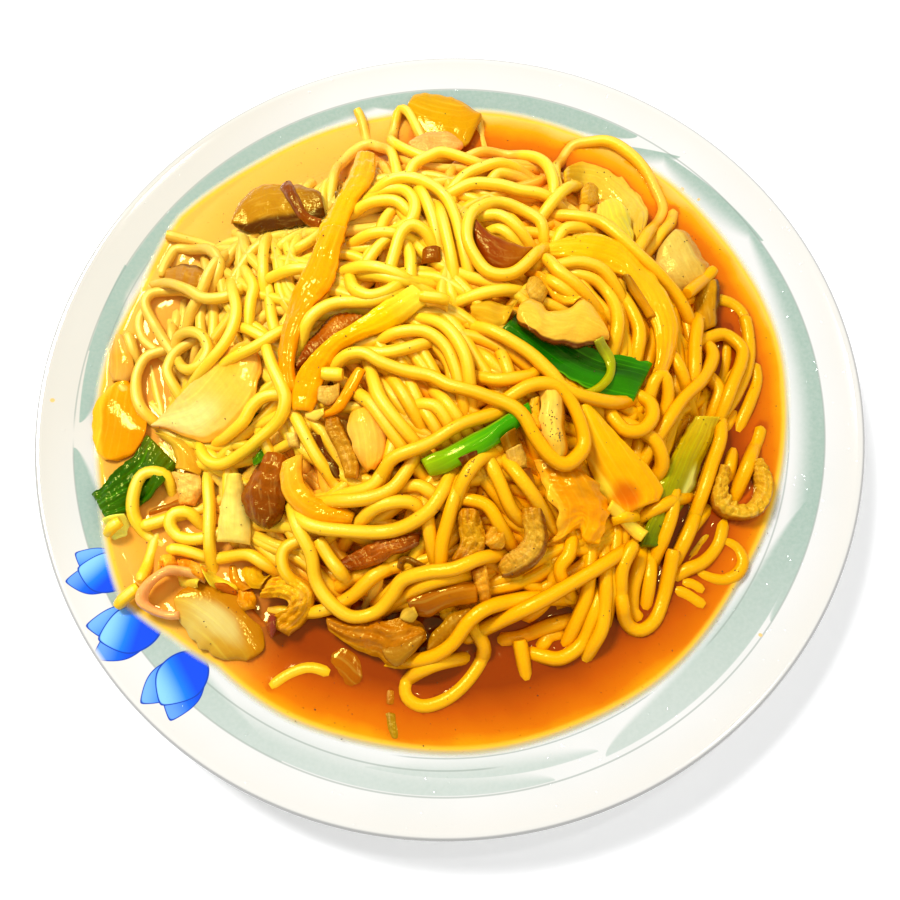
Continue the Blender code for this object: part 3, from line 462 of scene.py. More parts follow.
# Small pieces that lie loose between the noodles, in the same terms
MORSELS = {
    "onion_inner_left": dict(
        left=((-99.5, -27), (-95.5, -25.5), (-89.5, -25), (-85.5, -27.5)),
        right=((-99.5, -30.5), (-95.5, -30.5), (-89.5, -30), (-85.5, -29.5)),
        thick=1.6, tone=((184, 91, 0), (191, 94, 0))),
    "pork_under_ring": dict(
        left=((-93.5, -46.5), (-89, -44.5), (-84, -46.5), (-78, -50.5)),
        right=((-93.5, -50), (-89.5, -49), (-84.5, -50.5), (-79.5, -54)),
        thick=3.0, rough=0.12, lump=2.4, tone=((255, 179, 49), (251, 165, 29), (255, 175, 39))),
    "onion_clear_curl": dict(
        left=((-69, -49), (-69, -53.5), (-65, -57), (-59.5, -57.5), (-55.5, -54.5)),
        right=((-66, -49.5), (-65, -53), (-63.5, -54.5), (-60, -54.5), (-58, -52.5)),
        section="strip", thick=2.2, tone=((218, 157, 40), (208, 144, 20))),
    "onion_right_flat": dict(
        left=((78, -52.5), (75, -54), (71, -58.5), (68, -62)),
        right=((80, -54), (77.5, -57.5), (73.5, -61), (70, -63.5)),
        thick=1.6, ribs=(4, 0.1), tone=((226, 160, 0), (208, 136, 0))),
    "pork_bit_upper": dict(
        left=((28.5, 24.5), (30.5, 28.5), (33.5, 29)),
        right=((29.5, 19.5), (33, 19.5), (36, 24)),
        thick=4.4, rough=0.1, lump=2.6, tone=((244, 188, 83), (235, 167, 43))),
    "onion_wet": dict(
        left=((10.5, 20), (15.5, 21), (20.5, 20.5), (26, 18.5)),
        right=((10.5, 16.5), (14.5, 13), (18, 11), (23, 14.5)),
        thick=2.4, ribs=(5, 0.12), tone=((244, 181, 35), (244, 189, 45))),
    "onion_thin": dict(
        left=((29, 34), (34, 31.5), (38.5, 27), (42.5, 23), (46, 19.5)),
        right=((29, 32), (32.5, 28.5), (36, 23), (39.5, 19.5), (43, 17.5)),
        section="strip", thick=2.4, ribs=(3, 0.2), tone=((235, 137, 0), (255, 189, 27), (255, 210, 47))),
    "onion_arch": dict(
        left=((48.5, 77), (58, 87.5), (66.5, 85), (73, 79), (76.5, 71), (77, 60.5), (72.5, 48.5)),
        right=((48, 70.5), (55.5, 73), (61, 71), (64.5, 66), (67, 59.5), (68, 52), (69, 46)),
        thick=2.6, ends=4.0, ribs=(5, 0.16), tone=((250, 193, 45), (250, 205, 81), (250, 215, 115),
        (250, 193, 45))),
    "pork_bit_right": dict(
        left=((53.5, 68), (57, 71.5), (61, 71)),
        right=((52.5, 62.5), (55.5, 62), (59.5, 64)),
        thick=3.4, rough=0.1, tone=((249, 185, 43), (243, 172, 13))),
    "pork_bit_ribbed": dict(
        left=((-38, -2), (-35, -1), (-31, -2)),
        right=((-38.5, -6), (-35.5, -7.5), (-31.5, -6)),
        thick=3.6, rough=0.08, gills=(1.2, 0.3, 0.2), tone=((249, 201, 119), (240, 176, 79))),
    "noodle_end_pale": dict(
        left=((-43.5, -8), (-40, -8), (-36.5, -9)),
        right=((-43, -10), (-40, -11.5), (-36.5, -11)),
        kind="onion", section="round", thick=2.4, tone=((255, 236, 140), (255, 230, 110))),
    "mushroom_bar": dict(
        left=((-45.5, 80), (-42.5, 72), (-39.5, 65), (-34.5, 61.5)),
        right=((-49.5, 77.5), (-46, 69.5), (-42, 62), (-35.5, 58)),
        thick=2.6, ends=6.0, tone=((153, 70, 0), (136, 55, 0), (170, 80, 0))),
    "mushroom_crumb": dict(
        left=((-30.5, 74), (-28, 72.5)),
        right=((-30.5, 70), (-28.5, 69.5)),
        thick=2.4, tone=((120, 70, 10), (150, 90, 20))),
    "mushroom_hollow": dict(
        left=((-42, -15), (-42, -19), (-39, -24), (-36, -29)),
        right=((-38, -15.5), (-36.5, -21), (-34, -25.5), (-33, -30)),
        thick=1.6, ends=7.0, rough=0.03, tone=((110, 40, 0), (96, 34, 0))),
    "pork_white_bit": dict(
        left=((-49.5, -13.5), (-49, -18)),
        right=((-46, -13.5), (-45.5, -18.5)),
        thick=2.6, tone=((255, 226, 150), (250, 206, 110))),
    "mushroom_cube": dict(
        left=((-2.5, 42), (-3, 36.5)),
        right=((3.5, 42), (3, 36.5)),
        section="meat", thick=3.2, ends=8.0, tone=((148, 65, 0), (168, 81, 0))),
    "mushroom_chip": dict(
        left=((2, -29.5), (4, -32)),
        right=((8, -27.5), (8.5, -29.5)),
        thick=1.8, ends=7.0, tone=((110, 34, 0), (126, 44, 0))),
    "cabbage_brown": dict(
        left=((15, -24.5), (16.5, -27.5)),
        right=((20, -21.5), (21.5, -25.5)),
        thick=2.0, ends=9.0, tone=((175, 108, 0), (200, 130, 0))),
    "pork_white_cube": dict(
        left=((16.5, -27.5), (17, -30.5), (18.5, -33.5)),
        right=((21.5, -25.5), (22.5, -29), (22.5, -32.5)),
        thick=3.4, ends=8.0, rough=0.08, lump=2.0, tone=((245, 188, 98), (245, 179, 68))),
    "mushroom_brown_cube": dict(
        left=((18.5, -33.5), (20, -37.5), (22.5, -41.5)),
        right=((23.5, -32.5), (24.5, -36.5), (25, -39.5)),
        thick=3.0, ends=7.0, tone=((150, 66, 0), (190, 120, 16))),
    "cabbage_side": dict(
        left=((25.5, -12), (24, -16.5), (25.5, -22)),
        right=((29, -11), (28.5, -16.5), (27.5, -22.5)),
        kind="pork", thick=4.2, rough=0.08, tone=((255, 215, 51), (255, 178, 11))),
    "onion_flat_bit": dict(
        left=((-23.5, -58), (-27, -59), (-30, -62), (-32.5, -66)),
        right=((-23.5, -59), (-24.5, -62), (-27.5, -64.5), (-31.5, -67)),
        thick=1.8, ends=7.0, ribs=(4, 0.1), tone=((255, 214, 70), (255, 222, 110))),
    "mushroom_arch": dict(
        left=((-19.5, -57), (-18, -54), (-15.5, -54), (-12, -56), (-8.5, -58.5)),
        right=((-17.5, -58.5), (-16.5, -56), (-14.5, -57), (-12, -58.5), (-10, -59.5)),
        thick=3.0, tone=((150, 84, 0), (137, 72, 0))),
    "mushroom_flap": dict(
        left=((-20, -71.5), (-18.5, -69), (-15, -68.5)),
        right=((-18.5, -72.5), (-16, -73), (-14, -71.5)),
        thick=2.4, tone=((244, 196, 90), (236, 180, 60))),
    "mushroom_belly": dict(
        left=((-26.5, -79), (-21.5, -78.5), (-17, -77.5), (-12.5, -75.5)),
        right=((-25.5, -82.5), (-22.5, -85), (-18.5, -83.5), (-13.5, -79)),
        thick=2.6, tone=((187, 120, 29), (190, 124, 29), (179, 108, 0))),
    "onion_cut_stub": dict(
        left=((47.5, -42.5), (53, -47), (58.5, -52.5)),
        right=((45.5, -45.5), (50, -50), (55.5, -55.5)),
        kind="scallion", thick=3.6, ends=14.0, ribs=(4, 0.12), tone=((255, 223, 71), (255, 233, 101),
        (255, 229, 81))),
    "cabbage_tab": dict(
        left=((46.5, -47), (51.5, -46), (56.5, -45)),
        right=((47.5, -50), (53, -49.5), (57, -48.5)),
        thick=2.2, ends=6.0, tone=((255, 207, 13), (255, 201, 13))),
    "mushroom_ringlet": dict(
        left=((-69.5, -48.5), (-69, -52.5), (-66, -56.5), (-62, -58)),
        right=((-62, -49.5), (-62.5, -52), (-61, -53.5), (-58.5, -54)),
        thick=2.6, ribs=(3, 0.3), tone=((255, 206, 29), (241, 180, 19), (232, 168, 15))),
    "leaf_sliver": dict(
        left=((-60, -3), (-62, -4.5), (-63.5, -7)),
        right=((-58.5, -4), (-60, -6), (-62, -8.5)),
        thick=1.4, tone=((60, 90, 0), (90, 100, 0))),
    "leaf_chip": dict(
        left=((-61.5, -18.5), (-60.5, -21.5), (-59.5, -23.5)),
        right=((-57.5, -15.5), (-56.5, -18.5), (-57, -22)),
        thick=1.4, ends=7.0, tone=((56, 117, 0), (70, 122, 0))),
    "mushroom_fold": dict(
        left=((-69, -63), (-66, -67), (-62, -71)),
        right=((-66.5, -62), (-63.5, -66), (-60, -69.5)),
        thick=2.0, tone=((168, 76, 34), (238, 130, 40))),
    "mushroom_eye": dict(
        left=((-62, -67.5), (-60, -66), (-57.5, -67)),
        right=((-61.5, -71), (-59.5, -73), (-57.5, -71)),
        thick=2.4, tone=((182, 68, 52), (134, 40, 52))),
    "pork_small_left": dict(
        left=((-95.5, -46.5), (-93.5, -44), (-90, -43.5)),
        right=((-94, -50), (-91.5, -48.5), (-89, -47)),
        thick=3.0, rough=0.1, tone=((255, 219, 89), (255, 202, 59))),
    "onion_end_left": dict(
        left=((-112, -30.5), (-112, -34), (-111, -37)),
        right=((-105, -29.5), (-105, -33), (-105.5, -35.5)),
        thick=2.4, ends=4.0, tone=((255, 255, 148), (255, 255, 178))),
    "onion_peach": dict(
        left=((-97.5, -1.5), (-91.5, -7), (-89, -12.5), (-88.5, -16.5)),
        right=((-85, -6.5), (-81.5, -12), (-80.5, -17), (-81, -19.5)),
        thick=2.4, ends=5.0, tone=((239, 190, 67), (239, 181, 57), (239, 172, 47))),
    "pork_orange_bit": dict(
        left=((-70.5, -56.5), (-70.5, -60.5), (-68, -64)),
        right=((-66, -56.5), (-64.5, -59.5), (-64.5, -63.5)),
        thick=4.2, rough=0.14, lump=2.6, tone=((252, 169, 13), (243, 161, 7))),
    "onion_film_a": dict(
        left=((-80.5, -48.5), (-76, -52), (-71, -54.5)),
        right=((-77.5, -55.5), (-74.5, -57), (-69.5, -57)),
        thick=2.6, ribs=(4, 0.14), tone=((255, 248, 80), (255, 229, 60))),
    "onion_film_b": dict(
        left=((-90, -49), (-85, -51), (-80.5, -53)),
        right=((-89, -54), (-85, -55), (-81.5, -55.5)),
        thick=2.6, tone=((255, 243, 101), (255, 231, 91))),
    "onion_film_c": dict(
        left=((-70.5, -48), (-69, -53), (-65, -57)),
        right=((-74, -48.5), (-73.5, -53.5), (-68.5, -58)),
        thick=2.2, tone=((232, 146, 9), (223, 137, 13))),
    "mushroom_red_chip": dict(
        left=((-76.5, -54.5), (-73.5, -54.5), (-70.5, -57)),
        right=((-76, -56.5), (-73, -58), (-70.5, -58.5)),
        thick=2.0, tone=((206, 96, 0), (196, 90, 0))),
    "onion_sunk": dict(
        left=((-42, -78), (-38, -76.5), (-34, -79), (-32.5, -85.5)),
        right=((-43, -82), (-41, -87), (-38, -90), (-34, -89.5)),
        thick=1.2, level=17.0, tone=((195, 104, 0), (182, 90, 0))),
    "pork_sunk_a": dict(
        left=((-27, -91), (-27, -95.5)),
        right=((-23, -91.5), (-23.5, -96)),
        section="petal", thick=1.4, level=16.6, tone=((206, 120, 10), (196, 110, 0))),
    "pork_sunk_b": dict(
        left=((-28, -97.5), (-27.5, -102), (-26, -105.5)),
        right=((-23, -98), (-22.5, -102.5), (-23, -106)),
        section="petal", thick=1.4, level=16.6, tone=((185, 126, 3), (195, 146, 13))),
    "cabbage_dark": dict(
        left=((61, 30), (63, 24.5), (65.5, 19.5), (67.5, 15)),
        right=((63.5, 29.5), (66.5, 24.5), (69, 19.5), (70.5, 15.5)),
        thick=2.2, tone=((174, 103, 0), (227, 149, 0), (239, 156, 0))),
    "onion_thread": dict(
        left=((47, 4.5), (50, 1.5), (51, -2.5), (49, -6), (45, -8.5), (38.5, -8.5)),
        right=((50, 6), (53.5, 2.5), (54, -2.5), (51, -8), (45.5, -11), (37.5, -11)),
        kind="scallion", thick=2.2, ends=9.0, tone=((196, 190, 60), (176, 176, 10), (190, 176, 0),
        (226, 196, 0))),
    "onion_crescent": dict(
        left=((-3, 22), (0.5, 23), (4, 20.5)),
        right=((-3, 20), (0.5, 20), (3.5, 18)),
        section="strip", thick=2.2, tone=((255, 226, 110), (255, 216, 70))),
}

# Noodles that show, in the order they lie: how each ends or lies, then its plan route.
# "over" runs on under its neighbours at both ends, "cut" ends in sight, "sunk" lies in the sauce.
SHOWN = (
    ("over", (71, -35.5), (68.5, -42), (66.5, -48), (63.5, -54), (61, -58.5)),
    ("over", (-9.5, -5.5), (-8, -10)),
    ("over", (16, -28.5), (20, -36), (24, -42), (27.5, -47)),
    ("over", (12.5, 23.5), (20.5, 24.5), (27.5, 25.5)),
    ("over", (-57.5, -13.5), (-55, -19.5)),
    ("over", (40.5, 43), (44.5, 48.5), (50, 50)),
    ("over", (22.5, 70.5), (26, 74.5), (31.5, 74.5)),
    ("over", (46, 66.5), (45.5, 74), (48, 83.5), (54.5, 94), (62, 95), (69, 93.5), (75.5, 87.5), (80,
     80.5), (82.5, 73), (84, 66.5), (82.5, 61.5), (75.5, 51.5), (70.5, 44), (67.5, 39.5)),
    ("over", (79.5, -45.5), (73, -51.5), (68.5, -57)),
    ("over", (99, -8), (95, -13), (91.5, -17.5)),
    ("over", (74, -49.5), (70.5, -55), (67, -60.5), (65, -65)),
    ("over", (21.5, -84), (25, -80), (30, -79.5)),
    ("over", (1.5, -39.5), (9, -42.5), (12.5, -48.5), (16, -54.5)),
    ("over", (-14, -34.5), (-10, -35), (-6.5, -37.5), (-4, -40)),
    ("over", (-70.5, -22.5), (-70.5, -30.5)),
    ("over", (-75.5, -46), (-66.5, -46.5), (-61, -50), (-55.5, -54)),
    ("over", (88, -2.5), (90, -7), (87.5, -12.5)),
    ("over", (74.5, 5), (76.5, -1.5), (78, -6.5)),
    ("over", (34, 31), (39.5, 24.5), (45.5, 20)),
    ("over", (47, 31), (53, 28), (56.5, 22), (57, 13.5), (54, 3)),
    ("over", (19.5, 0.5), (20.5, -5)),
    ("over", (-46.5, -8), (-44, -14), (-40.5, -22), (-36, -29.5)),
    ("over", (-31, -34.5), (-24.5, -34), (-21, -31), (-17.5, -24.5)),
    ("over", (-19.5, -29.5), (-17.5, -24.5), (-16.5, -20.5)),
    ("over", (-6, -13.5), (-2, -21.5)),
    ("over", (-7, -11), (-2.5, -13), (1, -19)),
    ("over", (-17, -4.5), (-13.5, -10)),
    ("over", (-14, -4), (-10, -12.5)),
    ("over", (-26.5, -4.5), (-22, -10), (-18, -17), (-14, -23.5)),
    ("over", (-44, 11.5), (-40.5, 18.5), (-35.5, 23), (-29, 25), (-19.5, 23), (-13, 25), (-10, 28)),
    ("over", (-49, -1), (-55.5, -1), (-60, -3.5), (-63.5, -7.5), (-70, -10), (-75.5, -9.5)),
    ("over", (-99.5, 47.5), (-103, 41), (-102, 34), (-97, 28.5)),
    ("over", (18.5, 47.5), (23, 47), (29, 40.5)),
    ("over", (-52.5, 40.5), (-45.5, 40), (-36, 39)),
    ("over", (-95, 54), (-92.5, 63), (-89, 67.5), (-79, 62.5), (-73.5, 57.5), (-71, 52), (-72.5, 47),
     (-76, 42.5)),
    ("sunk", (-22, 117.5), (-20.5, 113), (-19, 102.5)),
    ("sunk", (-45, 91), (-43.5, 83), (-42.5, 75.5)),
    ("over", (-31.5, 78.5), (-29.5, 91.5), (-25, 100), (-17.5, 102), (-11, 92.5), (-9, 80), (-8.5, 73)),
    ("over", (0, 102), (-3.5, 113.5), (-7, 114.5), (-10, 104), (-9.5, 95.5), (-5.5, 89), (1.5, 84),
     (8.5, 84.5)),
    ("over", (16.5, 85), (22.5, 88), (29.5, 88), (38, 84.5), (42.5, 79.5), (44, 71), (43.5, 63.5)),
    ("over", (-5, 74), (-2.5, 79), (3, 82), (8, 83.5), (18.5, 80)),
    ("over", (10.5, 69), (16, 73.5), (25, 77.5), (30, 78)),
    ("over", (10, 66), (17, 68), (25.5, 67), (32, 65), (38.5, 64), (42.5, 62.5)),
    ("over", (-25, 62.5), (-18, 64), (-10, 62.5), (-5.5, 57.5)),
    ("over", (-21, 38.5), (-16, 44.5), (-10.5, 49)),
    ("over", (-26, 32.5), (-24.5, 28), (-20, 24.5), (-14.5, 25.5), (-10.5, 29)),
    ("over", (-7.5, 45), (-6.5, 39), (-7, 31.5)),
    ("over", (-20, 67), (-13, 68), (-6.5, 66), (-3.5, 59.5), (-5, 53), (-9, 51.5)),
    ("over", (-25.5, 49), (-15.5, 48.5), (-9, 47.5)),
    ("over", (-1.5, 66), (1.5, 54.5), (3, 44)),
    ("over", (-13, 36), (-11, 41.5), (-8.5, 47), (-5, 49.5), (-1, 47.5), (1.5, 43)),
    ("over", (-20, 34), (-12, 30), (-5.5, 29.5)),
    ("over", (-27.5, 37.5), (-21, 35.5), (-13.5, 32.5), (-5.5, 28.5)),
    ("sunk", (22, 111.5), (23, 103.5), (24, 94.5)),
    ("over", (44.5, 56.5), (51, 54), (57.5, 51), (63, 44), (69, 36.5), (75, 30.5), (79.5, 25.5), (83.5,
     18.5), (86.5, 14)),
    ("over", (39.5, 57), (45.5, 63.5), (52, 70), (58, 74)),
    ("over", (87.5, 66), (87, 62), (84.5, 57), (80.5, 52)),
    ("over", (17, 53.5), (23.5, 52), (29.5, 46), (34.5, 39.5)),
    ("over", (41, 34), (47.5, 34), (54, 31.5), (58, 26.5)),
    ("over", (4.5, 54), (6, 41.5), (6.5, 35)),
    ("over", (-18, 68), (-8, 70.5), (0.5, 67.5), (6.5, 62), (9, 53.5), (10, 45.5), (11, 37.5)),
    ("over", (31, 32.5), (36, 35.5), (40, 29), (46, 23.5)),
    ("over", (96, 27.5), (101, 25.5), (104, 21.5), (104.5, 15.5)),
    ("over", (-106.5, 36.5), (-104.5, 30), (-102.5, 21.5)),
    ("over", (-109.5, 17.5), (-105, 11.5)),
    ("over", (-94, 27), (-99.5, 25), (-102.5, 19), (-102.5, 12), (-100.5, 6), (-96.5, 1.5)),
    ("over", (-72, 52.5), (-74.5, 48), (-78, 41.5), (-82, 36.5), (-85, 30)),
    ("over", (-94, 50.5), (-98.5, 49), (-100, 44.5), (-96, 35.5), (-89.5, 24.5), (-84, 16), (-78.5, 15),
     (-75, 19.5), (-77, 25.5), (-82, 29), (-87, 29), (-89, 25)),
    ("over", (-100.5, 55.5), (-91.5, 51), (-82, 43.5), (-76, 38.5), (-68.5, 37.5), (-65, 39.5)),
    ("over", (-55, 41.5), (-54.5, 57.5), (-52.5, 60)),
    ("over", (-61, 45), (-58.5, 38.5), (-59.5, 33), (-60.5, 27)),
    ("sunk", (-93, 72.5), (-79.5, 69), (-73.5, 64.5), (-63.5, 55), (-55, 51.5)),
    ("over", (-63, 25), (-56.5, 20)),
    ("over", (-72.5, 13), (-63.5, 14), (-55.5, 16), (-46.5, 21)),
    ("over", (-66, 39.5), (-64, 31), (-65, 24), (-69, 18), (-75.5, 13.5), (-82.5, 10.5)),
    ("over", (-89.5, 21), (-90.5, 16.5), (-88, 10.5), (-86, 7)),
    ("over", (-22.5, 7.5), (-16, 6), (-9.5, 7), (-5, 8.5)),
    ("over", (0, -11), (4, -17.5)),
    ("over", (11.5, -30), (14, -37), (16.5, -44), (20.5, -48)),
    ("over", (-1, -43.5), (2.5, -36.5), (8, -30), (12.5, -27)),
    ("over", (12, -4), (17, -6), (25, -5.5), (28.5, -3.5)),
    ("over", (-18.5, 12), (-11.5, 12.5), (-4, 11.5), (1.5, 6.5), (4, -0.5), (5, -7.5)),
    ("over", (-5.5, 18), (1, 13.5), (5, 8), (7.5, 1), (8, -7)),
    ("over", (37.5, 45), (37, 51.5), (31, 56.5), (24.5, 58.5), (19, 56.5), (14, 51.5), (12, 43), (14,
     36), (18, 30.5), (24, 29.5), (29.5, 32.5), (35, 38.5), (38.5, 43.5)),
    ("over", (62.5, 18.5), (64, 11), (62, 2.5)),
    ("over", (11, 14), (18.5, 8.5), (27, 1.5), (32.5, -5), (36.5, -10.5), (44, -13), (52, -13.5), (58,
     -11.5)),
    ("cut", (-4.5, 22.5), (4, 20.5)),
    ("over", (104.5, 4.5), (104, -3.5), (100, -11), (95.5, -18.5), (91, -28.5), (88, -36.5)),
    ("over", (104, 21.5), (104, 10.5), (101, 0.5), (96.5, -7), (91, -13.5)),
    ("over", (88.5, 11.5), (95.5, 13), (100, 7.5), (98.5, 1.5), (94, -6), (90, -13.5)),
    ("over", (103, -18), (100, -24.5), (95.5, -31), (91.5, -38)),
    ("over", (84.5, -49.5), (81, -57), (75.5, -62), (69.5, -64), (65.5, -66)),
    ("over", (59.5, -58), (57.5, -66), (55.5, -74)),
    ("over", (55.5, -60), (52, -68.5), (51.5, -75), (53.5, -77.5)),
    ("over", (64, -11.5), (66.5, -6), (69.5, -4.5), (70.5, -10), (68.5, -18)),
    ("over", (87.5, 12.5), (89.5, 5), (83.5, -4.5), (75, -12), (68.5, -19.5), (64, -25)),
    ("over", (59.5, -21.5), (64, -26), (65.5, -32), (63, -36)),
    ("over", (52, -19.5), (54.5, -22.5), (59.5, -22.5), (63.5, -18.5), (64, -13.5), (61.5, -10)),
    ("over", (88.5, 22), (84, 10), (81, -3.5)),
    ("cut", (83, 25), (95.5, 36)),
    ("over", (-91.5, -21.5), (-92, -18), (-95.5, -16.5), (-99.5, -17.5), (-102, -22.5), (-103, -29),
     (-101, -34), (-98, -37.5)),
    ("over", (-93.5, -42), (-87.5, -42.5), (-81, -45)),
    ("over", (-97, -37), (-99, -45), (-100.5, -53)),
    ("over", (-102, -34), (-94, -32), (-85.5, -30)),
    ("over", (-80, -39.5), (-84, -39.5), (-88.5, -38), (-91, -34.5), (-90, -31), (-85.5, -30.5), (-82.5,
     -33.5)),
    ("over", (-79, -18.5), (-78, -28), (-78, -37), (-78.5, -47)),
    ("cut", (-107, -58.5), (-100, -53.5)),
    ("cut", (-111, -35), (-106, -32)),
    ("over", (-41, -35.5), (-31, -37.5), (-23.5, -37.5), (-18, -35.5), (-14, -31.5), (-11.5, -28)),
    ("over", (-21, -2), (-19, -9.5), (-14, -17.5), (-8, -25)),
    ("over", (-29.5, -43.5), (-24, -40.5), (-17.5, -39.5), (-12.5, -40), (-9.5, -43)),
    ("over", (-48.5, -45.5), (-53, -47.5), (-54, -52), (-52, -56.5), (-46.5, -60)),
    ("cut", (-42, -46.5), (-39.5, -51.5), (-35, -58.5)),
    ("over", (-51.5, -65.5), (-43.5, -66.5), (-34, -63.5), (-26, -58.5), (-20.5, -56)),
    ("over", (-8.5, -45), (-8, -52), (-7, -58.5)),
    ("over", (-50.5, -34.5), (-44, -42.5), (-32, -46), (-18.5, -47), (-9, -44), (-4, -39), (-1.5,
     -34.5), (0, -32)),
    ("over", (0.5, -38.5), (-2.5, -46), (-5, -52.5), (-6, -58.5)),
    ("over", (-17.5, -65), (-11, -63), (-2, -61.5), (3, -60.5)),
    ("over", (-50.5, -33.5), (-47.5, -43), (-44.5, -50.5), (-44, -58), (-40.5, -64.5), (-34.5, -69.5),
     (-27, -69), (-21.5, -65), (-17.5, -61), (-9.5, -60), (-2, -60), (6, -57.5), (13.5, -56)),
    ("over", (-20, -30), (-16.5, -27), (-7, -24.5), (3.5, -19.5), (13, -16.5), (18, -14.5)),
    ("over", (-35, 3.5), (-29, 6.5), (-23, 6), (-18, 2.5), (-11, -0.5), (-3.5, -3), (2, -7), (10.5,
     -10.5), (18, -14), (22.5, -18), (25.5, -24.5), (29.5, -30.5), (34, -33), (39, -29.5), (40.5, -25),
     (39, -17.5), (36, -11.5), (32.5, -9), (26, -9), (18, -12.5)),
    ("cut", (-36.5, 1.5), (-30, 0.5)),
    ("over", (-54, 14), (-52, 7), (-49, -1), (-48.5, -5), (-51, -9.5), (-57.5, -13.5), (-63.5, -16.5),
     (-71, -18.5), (-76, -17), (-79.5, -12.5), (-80.5, -8.5)),
    ("over", (34, -54), (32.5, -58), (29.5, -61.5), (30.5, -66)),
    ("over", (29, -52.5), (35, -51)),
    ("over", (9.5, -79.5), (15.5, -79.5), (23.5, -77.5), (31.5, -76)),
    ("over", (-21.5, -83.5), (-12, -83.5), (-5, -80.5), (1, -74.5), (7.5, -71), (16.5, -69.5), (24,
     -69.5)),
    ("over", (38.5, -64), (36.5, -71), (32, -79), (29.5, -83)),
    ("over", (20, -85), (27, -87), (34, -83.5), (38, -76.5), (40.5, -71)),
    ("over", (47, -60), (45, -68.5), (42.5, -77.5)),
    ("over", (43.5, -64), (42.5, -71), (40.5, -79.5), (36.5, -85.5)),
    ("over", (10, -75), (19.5, -72), (29, -68), (42, -62), (53, -56)),
    ("cut", (53, -56), (48.5, -63), (47.5, -71), (48.5, -78), (52.5, -81), (57.5, -78.5), (61, -72.5),
     (64, -64.5), (66, -58)),
    ("cut", (15.5, -80.5), (16, -86.5), (16.5, -92.5)),
    ("sunk", (79, -58), (82.5, -56), (86.5, -58), (88, -62.5), (85.5, -66.5), (81, -68), (76, -66.5),
     (73, -64)),
    ("sunk", (68, -67.5), (71, -68.5), (74, -71)),
    ("over", (56.5, -47.5), (65.5, -44), (75.5, -40.5)),
    ("sunk", (65.5, -69.5), (69, -71.5), (73.5, -75.5)),
    ("over", (89, -17), (87, -24), (82.5, -32.5), (77, -43.5)),
    ("over", (2.5, -77), (4.5, -82.5), (0, -89.5), (-7, -95), (-15, -97), (-20, -94), (-19.5, -89),
     (-12.5, -86), (-4.5, -84.5)),
    ("sunk", (-61.5, -87), (-55, -83.5), (-49, -82.5), (-43, -84.5)),
)


def paint(red, green, blue):
    """A linear colour from 0-255 screen values."""
    values = []
    for value in (red, green, blue):
        share = value / 255.0
        values.append(share / 12.92 if share <= 0.04045 else ((share + 0.055) / 1.055) ** 2.4)
    return (*values, 1.0)


def lit(red, green, blue):
    """The linear colour of a surface that looks like these 0-255 screen values under the studio light."""
    bright = [0.95 if value > 250 else min(0.95, seen / STUDIO_GAIN)
              for value, seen in zip((red, green, blue), paint(red, green, blue))]
    return (*bright, 1.0)


def eased_step(value):
    """A soft step from 0 to 1 while the value goes from 0 to 1."""
    share = np.clip(value, 0.0, 1.0)
    return share * share * (3.0 - 2.0 * share)


def uneven(points, size, seed, waves=14):
    """Smooth seeded unevenness, about -1 to 1, with features of a size in the points' unit."""
    draw = np.random.default_rng(seed)
    points = np.asarray(points, float)
    total = np.zeros(points.shape[:-1])
    for _ in range(waves):
        direction = draw.normal(size=points.shape[-1])
        direction *= math.tau / size * draw.uniform(0.5, 1.3) / np.linalg.norm(direction)
        total += np.sin(points @ direction + draw.uniform(0.0, math.tau))
    return total / math.sqrt(waves)


def smoothed(values, passes):
    """The values, each drawn towards its two neighbours a few times."""
    values = np.array(values, float)
    for _ in range(passes):
        values[1:-1] = 0.25 * values[:-2] + 0.5 * values[1:-1] + 0.25 * values[2:]
    return values


def smooth_path(points, step):
    """Points and lengths along a smooth curve through the given points, evenly spaced."""
    knots = np.asarray(points, float)
    first = 2.0 * knots[0] - knots[1]
    last = 2.0 * knots[-1] - knots[-2]
    knots = np.vstack([first, knots, last])
    fine = []
    for a, b, c, d in zip(knots, knots[1:], knots[2:], knots[3:]):
        s = np.linspace(0.0, 1.0, 16, endpoint=False)[:, None]
        square = 2.0 * a - 5.0 * b + 4.0 * c - d
        cube = 3.0 * b - a - 3.0 * c + d
        fine.append(b + 0.5 * ((c - a) * s + square * s ** 2 + cube * s ** 3))
    fine = np.vstack(fine + [knots[-2][None]])
    lengths = np.concatenate([[0.0], np.cumsum(np.linalg.norm(np.diff(fine[:, :2], axis=0), axis=1))])
    count = max(2, int(round(lengths[-1] / step)) + 1)
    even = np.linspace(0.0, lengths[-1], count)
    return np.stack([np.interp(even, lengths, column) for column in fine.T], axis=1), even


